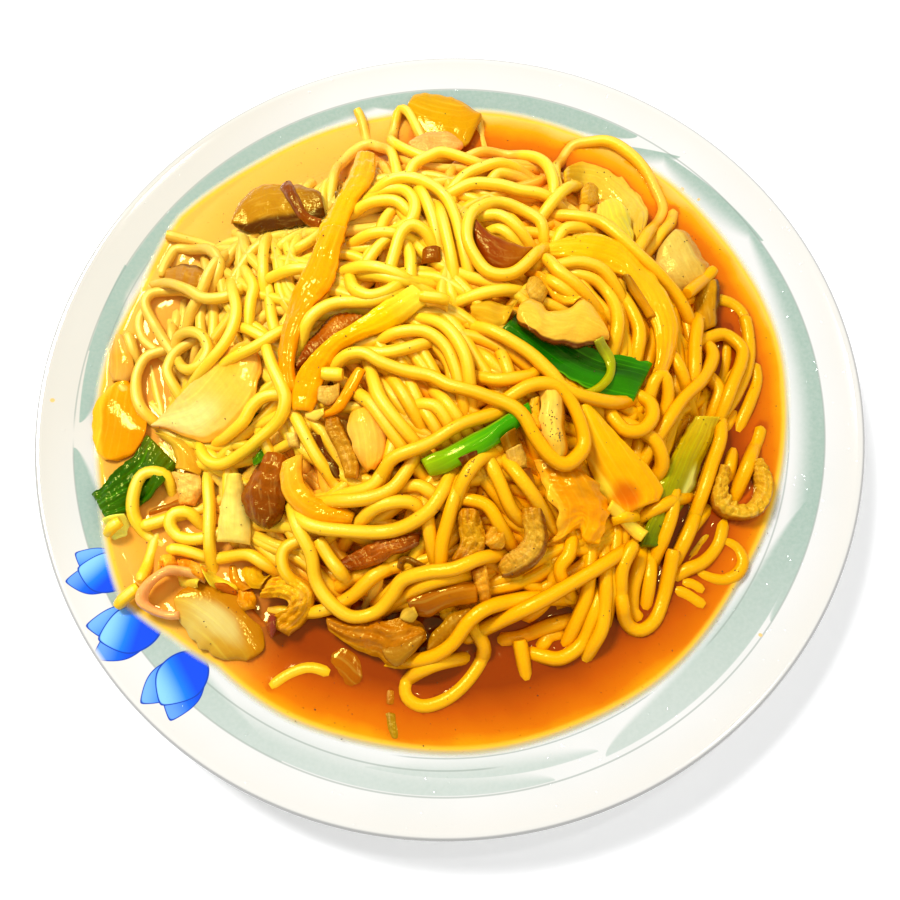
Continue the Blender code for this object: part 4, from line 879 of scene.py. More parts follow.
class Look:
    """A procedural material, put together node by node. Patterns are in millimetres."""

    def __init__(self, name):
        self.material = bpy.data.materials.new(name)
        self.material.use_nodes = True
        self.tree = self.material.node_tree
        self.shader = self.tree.nodes["Principled BSDF"]

    def node(self, kind, **settings):
        node = self.tree.nodes.new(kind)
        for key, value in settings.items():
            setattr(node, key, value)
        return node

    def feed(self, socket, value):
        """Link a socket, or set it. A colour may leave out its alpha."""
        if isinstance(value, bpy.types.NodeSocket):
            self.tree.links.new(value, socket)
        elif socket.type == "RGBA":
            socket.default_value = (*value[:3], 1.0)
        else:
            socket.default_value = value

    def set(self, **inputs):
        """Set or link the shader's inputs; an underscore in a name stands for a space."""
        for name, value in inputs.items():
            self.feed(self.shader.inputs[name.replace("_", " ")], value)

    def mapped(self, source, scale):
        node = self.node("ShaderNodeMapping")
        self.feed(node.inputs["Vector"], source)
        node.inputs["Scale"].default_value = scale
        return node.outputs["Vector"]

    def place(self):
        """Object coordinates in millimetres."""
        return self.mapped(self.node("ShaderNodeTexCoord").outputs["Object"], [1.0 / MM] * 3)

    def along(self, scale):
        """The piece's own UV map, in millimetres along and across it, times a scale."""
        return self.mapped(self.node("ShaderNodeUVMap", uv_map="grain").outputs["UV"], scale)

    def value(self, name):
        """A value stored on the piece's points."""
        return self.node("ShaderNodeAttribute", attribute_name=name).outputs["Fac"]

    def math(self, operation, a, b=0.0, c=0.0, clamp=False):
        node = self.node("ShaderNodeMath", operation=operation, use_clamp=clamp)
        for socket, value in zip(node.inputs, (a, b, c)):
            self.feed(socket, value)
        return node.outputs[0]

    def times(self, a, b):
        return self.math("MULTIPLY", a, b)

    def vector(self, operation, vector, other=(0.0, 0.0, 0.0), output="Vector"):
        node = self.node("ShaderNodeVectorMath", operation=operation)
        self.feed(node.inputs[0], vector)
        node.inputs[1].default_value = other
        return node.outputs[output]

    def dot(self, vector, direction):
        return self.vector("DOT_PRODUCT", vector, direction, "Value")

    def length(self, vector):
        return self.vector("LENGTH", vector, output="Value")

    def towards(self, place, direction, low, high, most=1.0):
        """A share that goes from 0 to most while a place moves over the plate in a direction."""
        return self.span(self.dot(place, (*direction, 0.0)), low, high, 0.0, most)

    def noise(self, vector, size, detail=2.0, roughness=0.5):
        """Noise between 0 and 1 with features of about the size, in the vector's unit."""
        node = self.node("ShaderNodeTexNoise")
        self.feed(node.inputs["Vector"], vector)
        for name, number in (("Scale", 1.0 / size), ("Detail", detail), ("Roughness", roughness)):
            node.inputs[name].default_value = number
        return node.outputs["Fac"]

    def span(self, value, low, high, to_low=0.0, to_high=1.0):
        """The value's place between low and high, clamped, and soft at both ends."""
        node = self.node("ShaderNodeMapRange", interpolation_type="SMOOTHSTEP")
        for name, number in zip(("From Min", "From Max", "To Min", "To Max"), (low, high, to_low, to_high)):
            node.inputs[name].default_value = number
        self.feed(node.inputs["Value"], value)
        return node.outputs["Result"]

    def ramp(self, value, *stops):
        """A colour from (place, colour) stops."""
        node = self.node("ShaderNodeValToRGB")
        elements = node.color_ramp.elements
        while len(elements) < len(stops):
            elements.new(0.5)
        for element, (place, colour) in zip(elements, stops):
            element.position = place
            element.color = (*colour[:3], 1.0)
        self.feed(node.inputs["Fac"], value)
        return node.outputs["Color"]

    def mix(self, share, a, b, blend="MIX"):
        """Colour b laid over colour a by a share."""
        node = self.node("ShaderNodeMix", data_type="RGBA", blend_type=blend)
        for index, value in ((0, share), (6, a), (7, b)):
            self.feed(node.inputs[index], value)
        return node.outputs[2]

    def relief(self, height, depth):
        """A normal from a height between 0 and 1 that stands for a depth in millimetres."""
        node = self.node("ShaderNodeBump")
        node.inputs["Strength"].default_value = 1.0
        node.inputs["Distance"].default_value = depth * MM
        self.feed(node.inputs["Height"], height)
        return node.outputs["Normal"]


def link_object(name, data):
    """An object of some data, in the scene's own collection."""
    holder = bpy.data.objects.new(name, data)
    bpy.context.scene.collection.objects.link(holder)
    return holder


def store_values(mesh, values):
    """Keep numbers by name on the points of a mesh."""
    for key, numbers in values.items():
        attribute = mesh.attributes.new(key, "FLOAT", "POINT")
        attribute.data.foreach_set("value", np.asarray(numbers, np.float32).ravel())


def new_piece(name, points, faces, look, grain=None, values=None, tones=None):
    """A mesh object from millimetre points, with a UV map, values and colours on its points."""
    mesh = bpy.data.meshes.new(name)
    mesh.from_pydata((np.asarray(points, float) * MM).tolist(), [], faces)
    shape = bmesh.new()
    shape.from_mesh(mesh)
    bmesh.ops.recalc_face_normals(shape, faces=shape.faces)
    shape.to_mesh(mesh)
    shape.free()
    if grain is not None:
        corners = np.zeros(len(mesh.loops), int)
        mesh.loops.foreach_get("vertex_index", corners)
        layer = mesh.uv_layers.new(name="grain")
        layer.data.foreach_set("uv", np.asarray(grain, np.float32)[corners].ravel())
    store_values(mesh, values or {})
    if tones is not None:
        attribute = mesh.attributes.new("tone", "FLOAT_COLOR", "POINT")
        attribute.data.foreach_set("color", np.asarray(tones, np.float32).ravel())
    mesh.shade_smooth()
    mesh.materials.append(look.material)
    return link_object(name, mesh)


def settle(piece, slot, *nodes):
    """Fix the piece to the plate's body, in place of the solid nodes that it stands for."""
    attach(piece, "root")
    if nodes:
        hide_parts(*nodes)


class Tree:
    """A Geometry Nodes tree with named inputs, which ends in real geometry with a look's material."""

    def __init__(self, name, source, **sizes):
        self.name = name
        self.group = bpy.data.node_groups.new(name, "GeometryNodeTree")
        interface = self.group.interface
        interface.new_socket(source, in_out="INPUT", socket_type="NodeSocketGeometry")
        self.identifiers = {}
        for label, default in sizes.items():
            kind = "NodeSocketInt" if isinstance(default, int) else "NodeSocketFloat"
            socket = interface.new_socket(label, in_out="INPUT", socket_type=kind)
            socket.default_value = default
            self.identifiers[label] = socket.identifier
        interface.new_socket("Result", in_out="OUTPUT", socket_type="NodeSocketGeometry")
        self.start = self.group.nodes.new("NodeGroupInput").outputs

    def add(self, kind, inputs=(), **settings):
        """A node's outputs, once its settings are made and its inputs are set or linked."""
        node = self.group.nodes.new(kind)
        for key, value in settings.items():
            setattr(node, key, value)
        for key, value in dict(inputs).items():
            if isinstance(value, bpy.types.NodeSocket):
                self.group.links.new(value, node.inputs[key])
            else:
                node.inputs[key].default_value = value
        return node.outputs

    def finish(self, geometry, look):
        real = self.add("GeometryNodeRealizeInstances", {"Geometry": geometry})
        inputs = {"Geometry": real["Geometry"], "Material": look.material}
        coat = self.add("GeometryNodeSetMaterial", inputs)
        self.add("NodeGroupOutput", {"Result": coat["Geometry"]})
        return self

    def grow(self, name, points, edges, values, sizes):
        """A plain mesh object of what the tree makes of millimetre points, lines and values on them."""
        mesh = bpy.data.meshes.new(name + "_start")
        mesh.from_pydata((np.asarray(points) * MM).tolist(), edges, [])
        store_values(mesh, values)
        holder = link_object(name + "_start", mesh)
        modifier = holder.modifiers.new(self.name, "NODES")
        modifier.node_group = self.group
        for label, value in sizes.items():
            modifier[self.identifiers[label]] = value
        bpy.context.view_layer.update()
        evaluated = holder.evaluated_get(bpy.context.evaluated_depsgraph_get())
        result = bpy.data.meshes.new_from_object(evaluated)
        result.name = name
        holder.modifiers.clear()
        bpy.data.objects.remove(holder)
        bpy.data.meshes.remove(mesh)
        return link_object(name, result)


def plate_top(radius):
    """Height of the plate's upper face at a radius."""
    reach = np.clip(radius, FLOOR_RADIUS, FLANGE_START) - FLOOR_RADIUS
    height = FLOOR_TOP + SIDE_CURVE - np.sqrt(SIDE_CURVE ** 2 - reach ** 2)
    slope = math.tan(math.asin((FLANGE_START - FLOOR_RADIUS) / SIDE_CURVE))
    return height + np.maximum(0.0, radius - FLANGE_START) * slope


def heap_radius(angle):
    """The heap's radius in a direction, in radians."""
    return HEAP_RADIUS + sum(size * np.sin(count * angle + phase) for count, size, phase in HEAP_WAVES)


def heap_height(x, y, drop, beside):
    """Height of the heap's dome, lowered by a drop, or a height of its own beside the heap."""
    dx, dy = x - HEAP_CENTRE[0], y - HEAP_CENTRE[1]
    share = np.hypot(dx, dy) / heap_radius(np.arctan2(dy, dx))
    dome = HEAP_EDGE + HEAP_RISE * (1.0 - np.minimum(share, 1.0) ** HEAP_POWER)
    return np.where(share < 1.0, dome - drop, beside)


def heap_top(x, y):
    """Height of the solid heap, or of the sauce beside it."""
    return heap_height(x, y, 0.0, SAUCE_LEVEL)


def core_top(x, y):
    """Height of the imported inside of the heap, under all the noodles that show."""
    return heap_height(x, y, CORE_DROP, 0.0)


class Pile:
    """Heights of what lies on the plate, on a square grid, so that each piece rests on those before it."""

    STEP = 0.8
    REACH = 138.0

    def __init__(self):
        count = int(round(2.0 * self.REACH / self.STEP)) + 1
        self.last = count - 1
        axis = np.linspace(-self.REACH, self.REACH, count)
        x, y = np.meshgrid(axis, axis, indexing="ij")
        floor = plate_top(np.hypot(x, y))
        self.top = np.maximum(floor, core_top(x, y))
        self.ceiling = np.full(x.shape, NO_LIMIT)
        self.toppings = np.full(x.shape, -NO_LIMIT)

    def cells(self, points):
        """Row and column of the grid at each point."""
        index = np.rint((np.asarray(points)[..., :2] + self.REACH) / self.STEP).astype(int)
        return np.clip(index, 0, self.last)

    def disc(self, radius):
        """Grid steps within a radius, and how far a ball's surface stands over its middle there."""
        span = int(radius / self.STEP) + 1
        steps = np.arange(-span, span + 1)
        i, j = np.meshgrid(steps, steps, indexing="ij")
        away = np.hypot(i, j) * self.STEP
        near = away < radius
        return i[near], j[near], np.sqrt(radius ** 2 - away[near] ** 2)

    def around(self, points, radius):
        """Rows and columns of the grid near each point, and the lift of a ball's surface there."""
        i, j, lift = self.disc(radius)
        cells = self.cells(points)
        rows = np.clip(cells[:, 0, None] + i, 0, self.last)
        columns = np.clip(cells[:, 1, None] + j, 0, self.last)
        return rows, columns, lift

    def rest_height(self, points, radius):
        """Height of the axis of a tube that rests on what is there."""
        rows, columns, lift = self.around(points, radius)
        return (self.top[rows, columns] + lift).max(axis=1)

    def under_height(self, points, radius):
        """Highest axis of a tube that passes under the toppings."""
        rows, columns, lift = self.around(points, radius)
        return (self.ceiling[rows, columns] - lift).min(axis=1)

    def add_tube(self, points, radius):
        rows, columns, lift = self.around(points, radius)
        np.maximum.at(self.top, (rows, columns), points[:, 2, None] + lift)

    def lie(self, points, radius):
        """Height of what a small piece lies on, along its middle."""
        rows, columns, _ = self.around(points, max(radius, self.STEP))
        near = np.maximum(self.top, self.toppings)[rows, columns]
        return np.maximum(np.percentile(near, 70, axis=1) - MORSEL_SINK, SAUCE_LEVEL - 1.5)

    def add_topping(self, top, under):
        """Note a topping's upper and lower face, given as grids of points."""
        for face, grid, keep in ((top, self.toppings, np.maximum), (under, self.ceiling, np.minimum)):
            middles = 0.5 * (face[1:] + face[:-1])
            points = np.vstack([face.reshape(-1, 3), middles.reshape(-1, 3)])
            cells = self.cells(points)
            keep.at(grid, (cells[:, 0], cells[:, 1]), points[:, 2])

    def take_in_toppings(self):
        """From here on pieces rest on the toppings too."""
        self.top = np.maximum(self.top, self.toppings)


@cache
def shared_pile():
    """What lies on the plate so far, which the operators add to in turn."""
    return Pile()


def draped(heights, passes):
    """Heights of a soft strand that bridges its supports in gentle bows."""
    low = heights.copy()
    for _ in range(passes):
        low[1:-1] = np.maximum(low[1:-1], 0.5 * (low[:-2] + low[2:]) - SAG)
    return smoothed(low, 3)


def tucked(heights, limit):
    """The same heights, bent down gently to stay under a limit."""
    lowered = -draped(-np.minimum(heights, limit), 14)
    return np.minimum(lowered, limit)


def flow_field():
    """Which way the noodles that show run round each place, on a coarse grid, and how strongly."""
    spots, headings = [], []
    for _, *points in SHOWN:
        route, _ = smooth_path(points, 3.0)
        ahead = np.gradient(route, axis=0)
        spots.append(route)
        headings.append(np.arctan2(ahead[:, 1], ahead[:, 0]))
    spots, headings = np.vstack(spots), np.concatenate(headings)
    axis = np.arange(-FLOW_REACH, FLOW_REACH + 0.1, FLOW_STEP)
    x, y = np.meshgrid(axis, axis, indexing="ij")
    away = (x[..., None] - spots[:, 0]) ** 2 + (y[..., None] - spots[:, 1]) ** 2
    weight = np.exp(-away / (2.0 * FLOW_SPREAD ** 2))
    cosine = (weight * np.cos(2.0 * headings)).sum(axis=2)
    sine = (weight * np.sin(2.0 * headings)).sum(axis=2)
    return 0.5 * np.arctan2(sine, cosine), np.hypot(cosine, sine) / (weight.sum(axis=2) + 0.2)


def flow_turn(field, spot, heading):
    """How far a heading is from the flow at a place, weighed by how clear the flow is."""
    i, j = np.clip(np.rint((spot + FLOW_REACH) / FLOW_STEP).astype(int), 0, len(field[0]) - 1)
    off = (field[0][i, j] - heading + 0.5 * math.pi) % math.pi - 0.5 * math.pi
    return off * field[1][i, j]


def beyond_loose(spot):
    """Whether a place is outside the loose part of the heap, which is wider on some sides."""
    x, y = spot - np.array(HEAP_CENTRE)
    angle = math.degrees(math.atan2(y, x))
    return math.hypot(x, y) > np.interp(angle, LOOSE_ANGLES, LOOSE_RADII, period=360.0)


def strand_routes(count, seed, field):
    """Plan routes of loose strands, walked both ways from middles spread on a sunflower pattern."""
    draw = np.random.default_rng(seed)
    golden = math.pi * (3.0 - math.sqrt(5.0))
    routes = []
    for i in range(count):
        angle = i * golden + seed
        radius = HEAP_RADIUS * math.sqrt((i + 0.5) / count) * 1.03
        middle = np.array(HEAP_CENTRE) + radius * np.array([math.cos(angle), math.sin(angle)])
        heading = draw.uniform(0.0, math.tau)
        heading += flow_turn(field, middle, heading) + draw.normal(0.0, 0.3)
        bend = draw.normal(0.0, 0.016)
        swing = draw.uniform(0.01, 0.05)
        wave = draw.uniform(25.0, 60.0)
        phase = draw.uniform(0.0, math.tau)
        length = draw.uniform(*LOOSE_LENGTH)
        if beyond_loose(middle):
            continue
        halves = []
        for way in (1.0, -1.0):
            spot = middle.copy()
            direction = heading if way > 0 else heading + math.pi
            half = []
            for step in range(int(length / STRAND_STEP)):
                travelled = step * STRAND_STEP * way
                sway = swing * math.sin(travelled / wave * math.tau + phase)
                direction += way * STRAND_STEP * (bend + sway)
                direction += FLOW_PULL * flow_turn(field, spot, direction)
                spot = spot + STRAND_STEP * np.array([math.cos(direction), math.sin(direction)])
                if np.hypot(*spot) > STRAND_LIMIT or beyond_loose(spot):
                    break
                half.append(spot)
            halves.append(half)
        route = halves[1][::-1] + [middle] + halves[0]
        if len(route) * STRAND_STEP > LOOSE_SHORTEST:
            routes.append(np.array(route))
    draw.shuffle(routes)
    return routes


def run_on(route, length):
    """The route, carried on past both ends in the way that it bends there."""
    parts = [route]
    for ends in (route[:5], route[:-6:-1]):
        forward = ends[0] - ends[2]
        before = ends[2] - ends[4] if len(ends) > 4 else forward
        heading = math.atan2(forward[1], forward[0])
        turn = heading - math.atan2(before[1], before[0])
        turn = (turn + math.pi) % math.tau - math.pi
        turn = max(-0.12, min(0.12, turn / 2.0))
        spot = ends[0]
        extra = []
        for _ in range(int(length / STRAND_STEP)):
            heading += turn
            spot = spot + STRAND_STEP * np.array([math.cos(heading), math.sin(heading)])
            extra.append(spot)
        parts.append(np.array(extra))
    return np.vstack([parts[1][::-1], parts[0], parts[2]])


def dip(count, length, depth):
    """How far a strand of a number of points goes down near its ends."""
    place = np.arange(count) * STRAND_STEP
    place = np.minimum(place, place[::-1])
    return depth * (1.0 - eased_step(place / length))


def lay_loose(pile, radius, count, layers):
    """Loose strands in layers, up to just under the noodles that show."""
    strands = []
    field = flow_field()
    for layer in range(layers):
        below = layers - 1 - layer
        for route in strand_routes(count, LOOSE_SEED + layer, field):
            x, y = route[:, 0], route[:, 1]
            floor = plate_top(np.hypot(x, y))
            height = draped(pile.rest_height(route, radius), 8)
            cap = heap_top(x, y) - LOOSE_DROP * below + LOOSE_OVER
            height = np.minimum(height, np.maximum(cap, floor + 2.2 * radius) - radius)
            height = tucked(height, pile.under_height(route, radius) - UNDER_GAP)
            height = height - dip(len(route), *LOOSE_DIP)
            height = np.maximum(height, SAUCE_LEVEL + LOOSE_SHOWS - 1.5 * below - radius)
            height = np.maximum(height, floor + radius)
            strand = np.column_stack([route, height])
            pile.add_tube(strand, radius)
            strands.append(strand if layer else strand[::2])
    return strands


def lay_shown(pile, radius):
    """The noodles that show, each along its own route over all that lies there."""
    strands = []
    for kind, *points in SHOWN:
        route, _ = smooth_path(points, STRAND_STEP)
        hidden = np.zeros(len(route), bool)
        if kind == "over":
            route = run_on(route, RUN_ON)
            hidden = dip(len(route), RUN_ON, 1.0) > 0.0
            shallow = plate_top(np.hypot(*route.T)) + 2.0 * radius > SAUCE_LEVEL - 0.3
            kept = ~(hidden & shallow)
            route, hidden = route[kept], hidden[kept]
        x, y = route[:, 0], route[:, 1]
        height = draped(pile.rest_height(route, radius) - PRESS, 10)
        ceiling = np.minimum(heap_top(x, y) + SHOWN_RISE, HIGHEST) - radius
        height = np.minimum(height, ceiling)
        if kind == "over":
            height = height - np.where(hidden, 1.0, 0.2) * dip(len(route), RUN_ON + 3.0, DIVE)
            limit = np.where(hidden, pile.under_height(route, radius) - UNDER_GAP, NO_LIMIT)
            height = tucked(height, limit)
            outside = np.array([beyond_loose(spot) for spot in route]) & ~hidden
            height = np.where(outside, np.maximum(height, SAUCE_LEVEL - 0.6), height)
        if kind == "sunk":
            height = np.full(len(route), SAUCE_LEVEL + SUNK_SHOWS - radius)
        height = np.maximum(height, plate_top(np.hypot(x, y)) + radius)
        strand = np.column_stack([route, height])
        pile.add_tube(strand, radius)
        strands.append(strand)
    return strands


def tube_tree(look):
    """Nodes that turn lines of points into soft round tubes with a tint of their own."""
    tree = Tree(look.material.name + "_tubes", "Lines", Thickness=1.0, Sides=10, Seed=5)
    curve = tree.add("GeometryNodeMeshToCurve", {"Mesh": tree.start["Lines"]})
    chance = tree.add("FunctionNodeRandomValue", {"Seed": tree.start["Seed"]})
    tint = tree.add("GeometryNodeStoreNamedAttribute",
                    {"Geometry": curve["Curve"], "Name": "tint", "Value": chance[1]}, domain="CURVE")
    girth = tree.add("GeometryNodeInputNamedAttribute", {"Name": "girth"})
    scale = tree.add("ShaderNodeMath", {0: girth["Attribute"], 1: tree.start["Thickness"]},
                     operation="MULTIPLY")
    ring = tree.add("GeometryNodeCurvePrimitiveCircle", {"Resolution": tree.start["Sides"], "Radius": 1.0})
    tube = tree.add("GeometryNodeCurveToMesh", {"Curve": tint["Geometry"], "Profile Curve": ring["Curve"],
                                                "Scale": scale[0], "Fill Caps": True})
    facing = tree.add("GeometryNodeInputNormal")
    parts = tree.add("ShaderNodeSeparateXYZ", {"Vector": facing["Normal"]})
    upward = tree.add("GeometryNodeStoreNamedAttribute",
                      {"Geometry": tube["Mesh"], "Name": "upward", "Value": parts["Z"]})
    shade = tree.add("GeometryNodeSetShadeSmooth", {"Geometry": upward["Geometry"]})
    return tree.finish(shade["Geometry"], look)


def girth_of(strand, radius, clean):
    """The strand's radius along it: thicker deep in the sauce, a little uneven, drawn in at its ends."""
    count = len(strand)
    swollen = np.interp(0.7 * (strand[:, 0] - strand[:, 1]), (-70.0, 50.0), (0.88, 1.06))
    girth = radius * swollen * (1.0 + 0.05 * uneven(strand, 22.0, 3))
    place = np.minimum(np.arange(count), np.arange(count)[::-1]) * STRAND_STEP
    tip = 0.82 if clean else 0.45
    return girth * (tip + (1.0 - tip) * eased_step(place / (0.5 * radius + 0.1)))


def build_strands(name, strands, cut, radius, look, sides, seed):
    """One piece of noodles along strands, each cut clean or drawn in at its ends."""
    points = np.vstack(strands)
    edges = []
    start = 0
    for strand in strands:
        edges += [(start + i, start + i + 1) for i in range(len(strand) - 1)]
        start += len(strand)
    girths = [girth_of(strand, radius, clean) for strand, clean in zip(strands, cut)]
    deep = np.clip((heap_top(points[:, 0], points[:, 1]) + 4.0 - points[:, 2]) / 8.0, 0.0, 1.0)
    values = {"girth": np.concatenate(girths) * MM, "deep": deep}
    sizes = {"Thickness": 1.0, "Sides": sides, "Seed": seed}
    settle(tube_tree(look).grow(name, points, edges, values, sizes), "noodles", "noodles")


def glaze_look(settings):
    """White glaze with a grey-green band, blue tulips, a few drops of oil and a painted grey shade line at the
    lip.
    """
    look = Look("white_glaze")
    place = look.place()
    flat = look.vector("MULTIPLY", place, (1.0, 1.0, 0.0))
    radius = look.length(flat)
    cloud = look.span(look.noise(place, 30.0, 3.0), 0.35, 0.7)
    white = look.mix(cloud, (0.70, 0.70, 0.675), (0.675, 0.68, 0.65))
    cream = look.span(radius, PLATE_RADIUS - 13.0, PLATE_RADIUS - 1.0)
    white = look.mix(look.times(cream, 0.7), white, (0.69, 0.665, 0.60))
    white = look.mix(look.towards(flat, (-0.9, 0.45), 70.0, 125.0, 0.8), white, (0.60, 0.575, 0.49))
    colour = banded(look, place, flat, radius, white, settings.band)
    for tulip in TULIPS:
        for petal in TULIP_PETALS:
            colour = petal_over(look, flat, colour, tulip, petal, settings.petals)
    for x, y, size in OIL_DROPS:
        away = look.length(look.vector("ADD", flat, (-x, -y, 0.0)))
        colour = look.mix(look.span(away, size, 0.6 * size, 0.0, 0.8), colour, lit(255, 210, 90))
    colour = look.mix(look.value("upper"), white, colour)
    # Painted shade: a grey line along the outer lip, standing in for the shade at the plate's edge.
    lip = look.span(radius, PLATE_RADIUS - LIP_ROUND, PLATE_RADIUS - 0.7, 0.0, 0.7)
    colour = look.mix(lip, colour, (0.3, 0.3, 0.3))
    drops = look.span(look.noise(place, 2.4, 1.0), 0.72, 0.8)
    look.set(Base_Color=colour, Roughness=0.08, Coat_Weight=0.15, Coat_Roughness=0.04,
             Normal=look.relief(drops, 0.05))
    return look


def banded(look, place, flat, radius, white, band):
    """The glaze's white with its band of swooshes and thin lines over it."""
    painted = None
    for swoosh in SWOOSHES:
        share = swoosh_share(look, flat, radius, *swoosh)
        painted = share if painted is None else look.math("MAXIMUM", painted, share)
    grain = look.span(look.noise(place, 1.2, 2.0), 0.2, 0.8, 0.86, 1.0)
    # Painted light: the band turns paler towards the eater's side, standing in for light falling there.
    near = look.towards(flat, (0.0, -1.0), 40.0, 120.0, 0.45)
    colour = look.mix(look.times(painted, grain), white, look.mix(near, band, white))
    for ring, width, middle, half in BAND_LINES:
        away = look.math("ABSOLUTE", look.math("SUBTRACT", radius, ring))
        turn = look.math("ABSOLUTE", relative_angle(look, flat, middle))
        part = look.span(turn, math.radians(half), math.radians(half - 4.0))
        share = look.times(look.times(look.span(away, width, 0.3 * width), part), 0.6)
        colour = look.mix(share, colour, paint(140, 152, 142))
    return colour


def headings(angle):
    """The directions ahead and to the left at an angle in degrees."""
    turn = math.radians(angle)
    return (math.cos(turn), math.sin(turn), 0.0), (-math.sin(turn), math.cos(turn), 0.0)


def relative_angle(look, place, angle):
    """Angle round the plate, in radians, from a direction in degrees."""
    ahead, left = headings(angle)
    return look.math("ARCTAN2", look.dot(place, left), look.dot(place, ahead))


def swoosh_share(look, place, radius, middle, half, outer, slope, thick, fade):
    """A curved stroke round the plate: crisp at its outer edge and fading inwards, pointed at its ends."""
    turn = look.math("DIVIDE", relative_angle(look, place, middle), math.radians(half))
    body = look.math("SUBTRACT", 1.0, look.times(turn, turn), clamp=True)
    body = look.math("POWER", body, 0.6)
    depth = look.math("SUBTRACT", look.math("MULTIPLY_ADD", turn, slope, outer), radius)
    share = look.math("DIVIDE", depth, look.math("MULTIPLY_ADD", body, thick, 0.01))
    inside = look.span(depth, -0.15, 0.25)
    fading = look.span(share, 1.0 - fade, 1.0, 1.0, 0.0)
    return look.times(look.times(inside, fading), look.span(body, 0.02, 0.08))


def petal_over(look, place, colour, tulip, petal, blue):
    """A blue petal, round at its base and pointed at its tip, with a darker outline."""
    x, y, way, size = tulip
    turn, forward, aside, length, width, shade = petal
    ahead, left = headings(way)
    x += size * (forward * ahead[0] + aside * left[0])
    y += size * (forward * ahead[1] + aside * left[1])
    ahead, left = headings(way + turn)
    local = look.vector("ADD", place, (-x, -y, 0.0))
    along = look.math("DIVIDE", look.dot(local, ahead), size * length)
    across = look.math("DIVIDE", look.dot(local, left), size * width)
    narrow = look.math("POWER", look.math("MAXIMUM", along, 0.0), 2.0)
    narrow = look.math("SUBTRACT", 1.0, look.times(narrow, 0.6))
    across = look.math("DIVIDE", across, look.math("MAXIMUM", narrow, 0.05))
    edge = look.math("ADD", look.times(across, across), look.times(along, along))
    blend = look.span(look.math("MULTIPLY_ADD", across, 0.45, look.times(along, -1.0)), -0.9, 0.8)
    fill = look.ramp(blend, (0.0, paint(130, 196, 255)), (0.45, paint(12, 116, 248)), (0.8, blue))
    fill = look.mix(0.6 * shade, fill, blue)
    fill = look.mix(look.span(edge, 0.8, 0.9), fill, paint(0, 60, 170))
    return look.mix(look.span(edge, 1.0, 0.94), colour, fill)


def sauce_look(settings):
    """Thick glossy sauce: pale at its thin edge, orange further in and brown where it is deep and in the heap's
    painted shade.
    """
    look = Look("glossy_sauce")
    place = look.place()
    depth = look.math("MULTIPLY_ADD", look.noise(place, 26.0, 3.0), 0.34, look.value("depth"))
    depth = look.math("SUBTRACT", depth, 0.17)
    colour = look.ramp(depth, *SAUCE_DEPTHS, (0.95, settings.deep))
    colour = look.mix(look.towards(place, (-1.0, 0.35), 28.0, 62.0, 0.8), colour, (0.8, 0.37, 0.04))
    colour = look.mix(look.towards(place, (-0.57, 0.82), 84.0, 100.0, 0.45), colour, (0.88, 0.5, 0.08))
    shore = look.value("shore")
    colour = look.mix(look.span(shore, 1.0, 0.6), colour, (0.95, 0.56, 0.04))
    # Painted light: the thinnest edge is near white, paler than thin sauce alone, to make up for the shade that
    # its part-clear film casts.
    colour = look.mix(look.span(shore, 0.7, 0.2), colour, (1.0, 0.93, 0.66))
    specks = look.span(look.noise(place, 1.1, 2.0, 0.7), 0.68, 0.74)
    colour = look.mix(look.times(specks, 0.4), colour, paint(120, 40, 0))
    look.set(Base_Color=colour, Roughness=0.06, Specular_IOR_Level=0.5, Specular_Tint=(1.0, 0.8, 0.25),
             Subsurface_Weight=0.12, Subsurface_Radius=(1.0, 0.35, 0.05), Subsurface_Scale=2.0 * MM,
             Alpha=look.span(shore, 0.0, 0.8), Normal=look.relief(look.noise(place, 9.0, 2.0), 0.35))
    return look


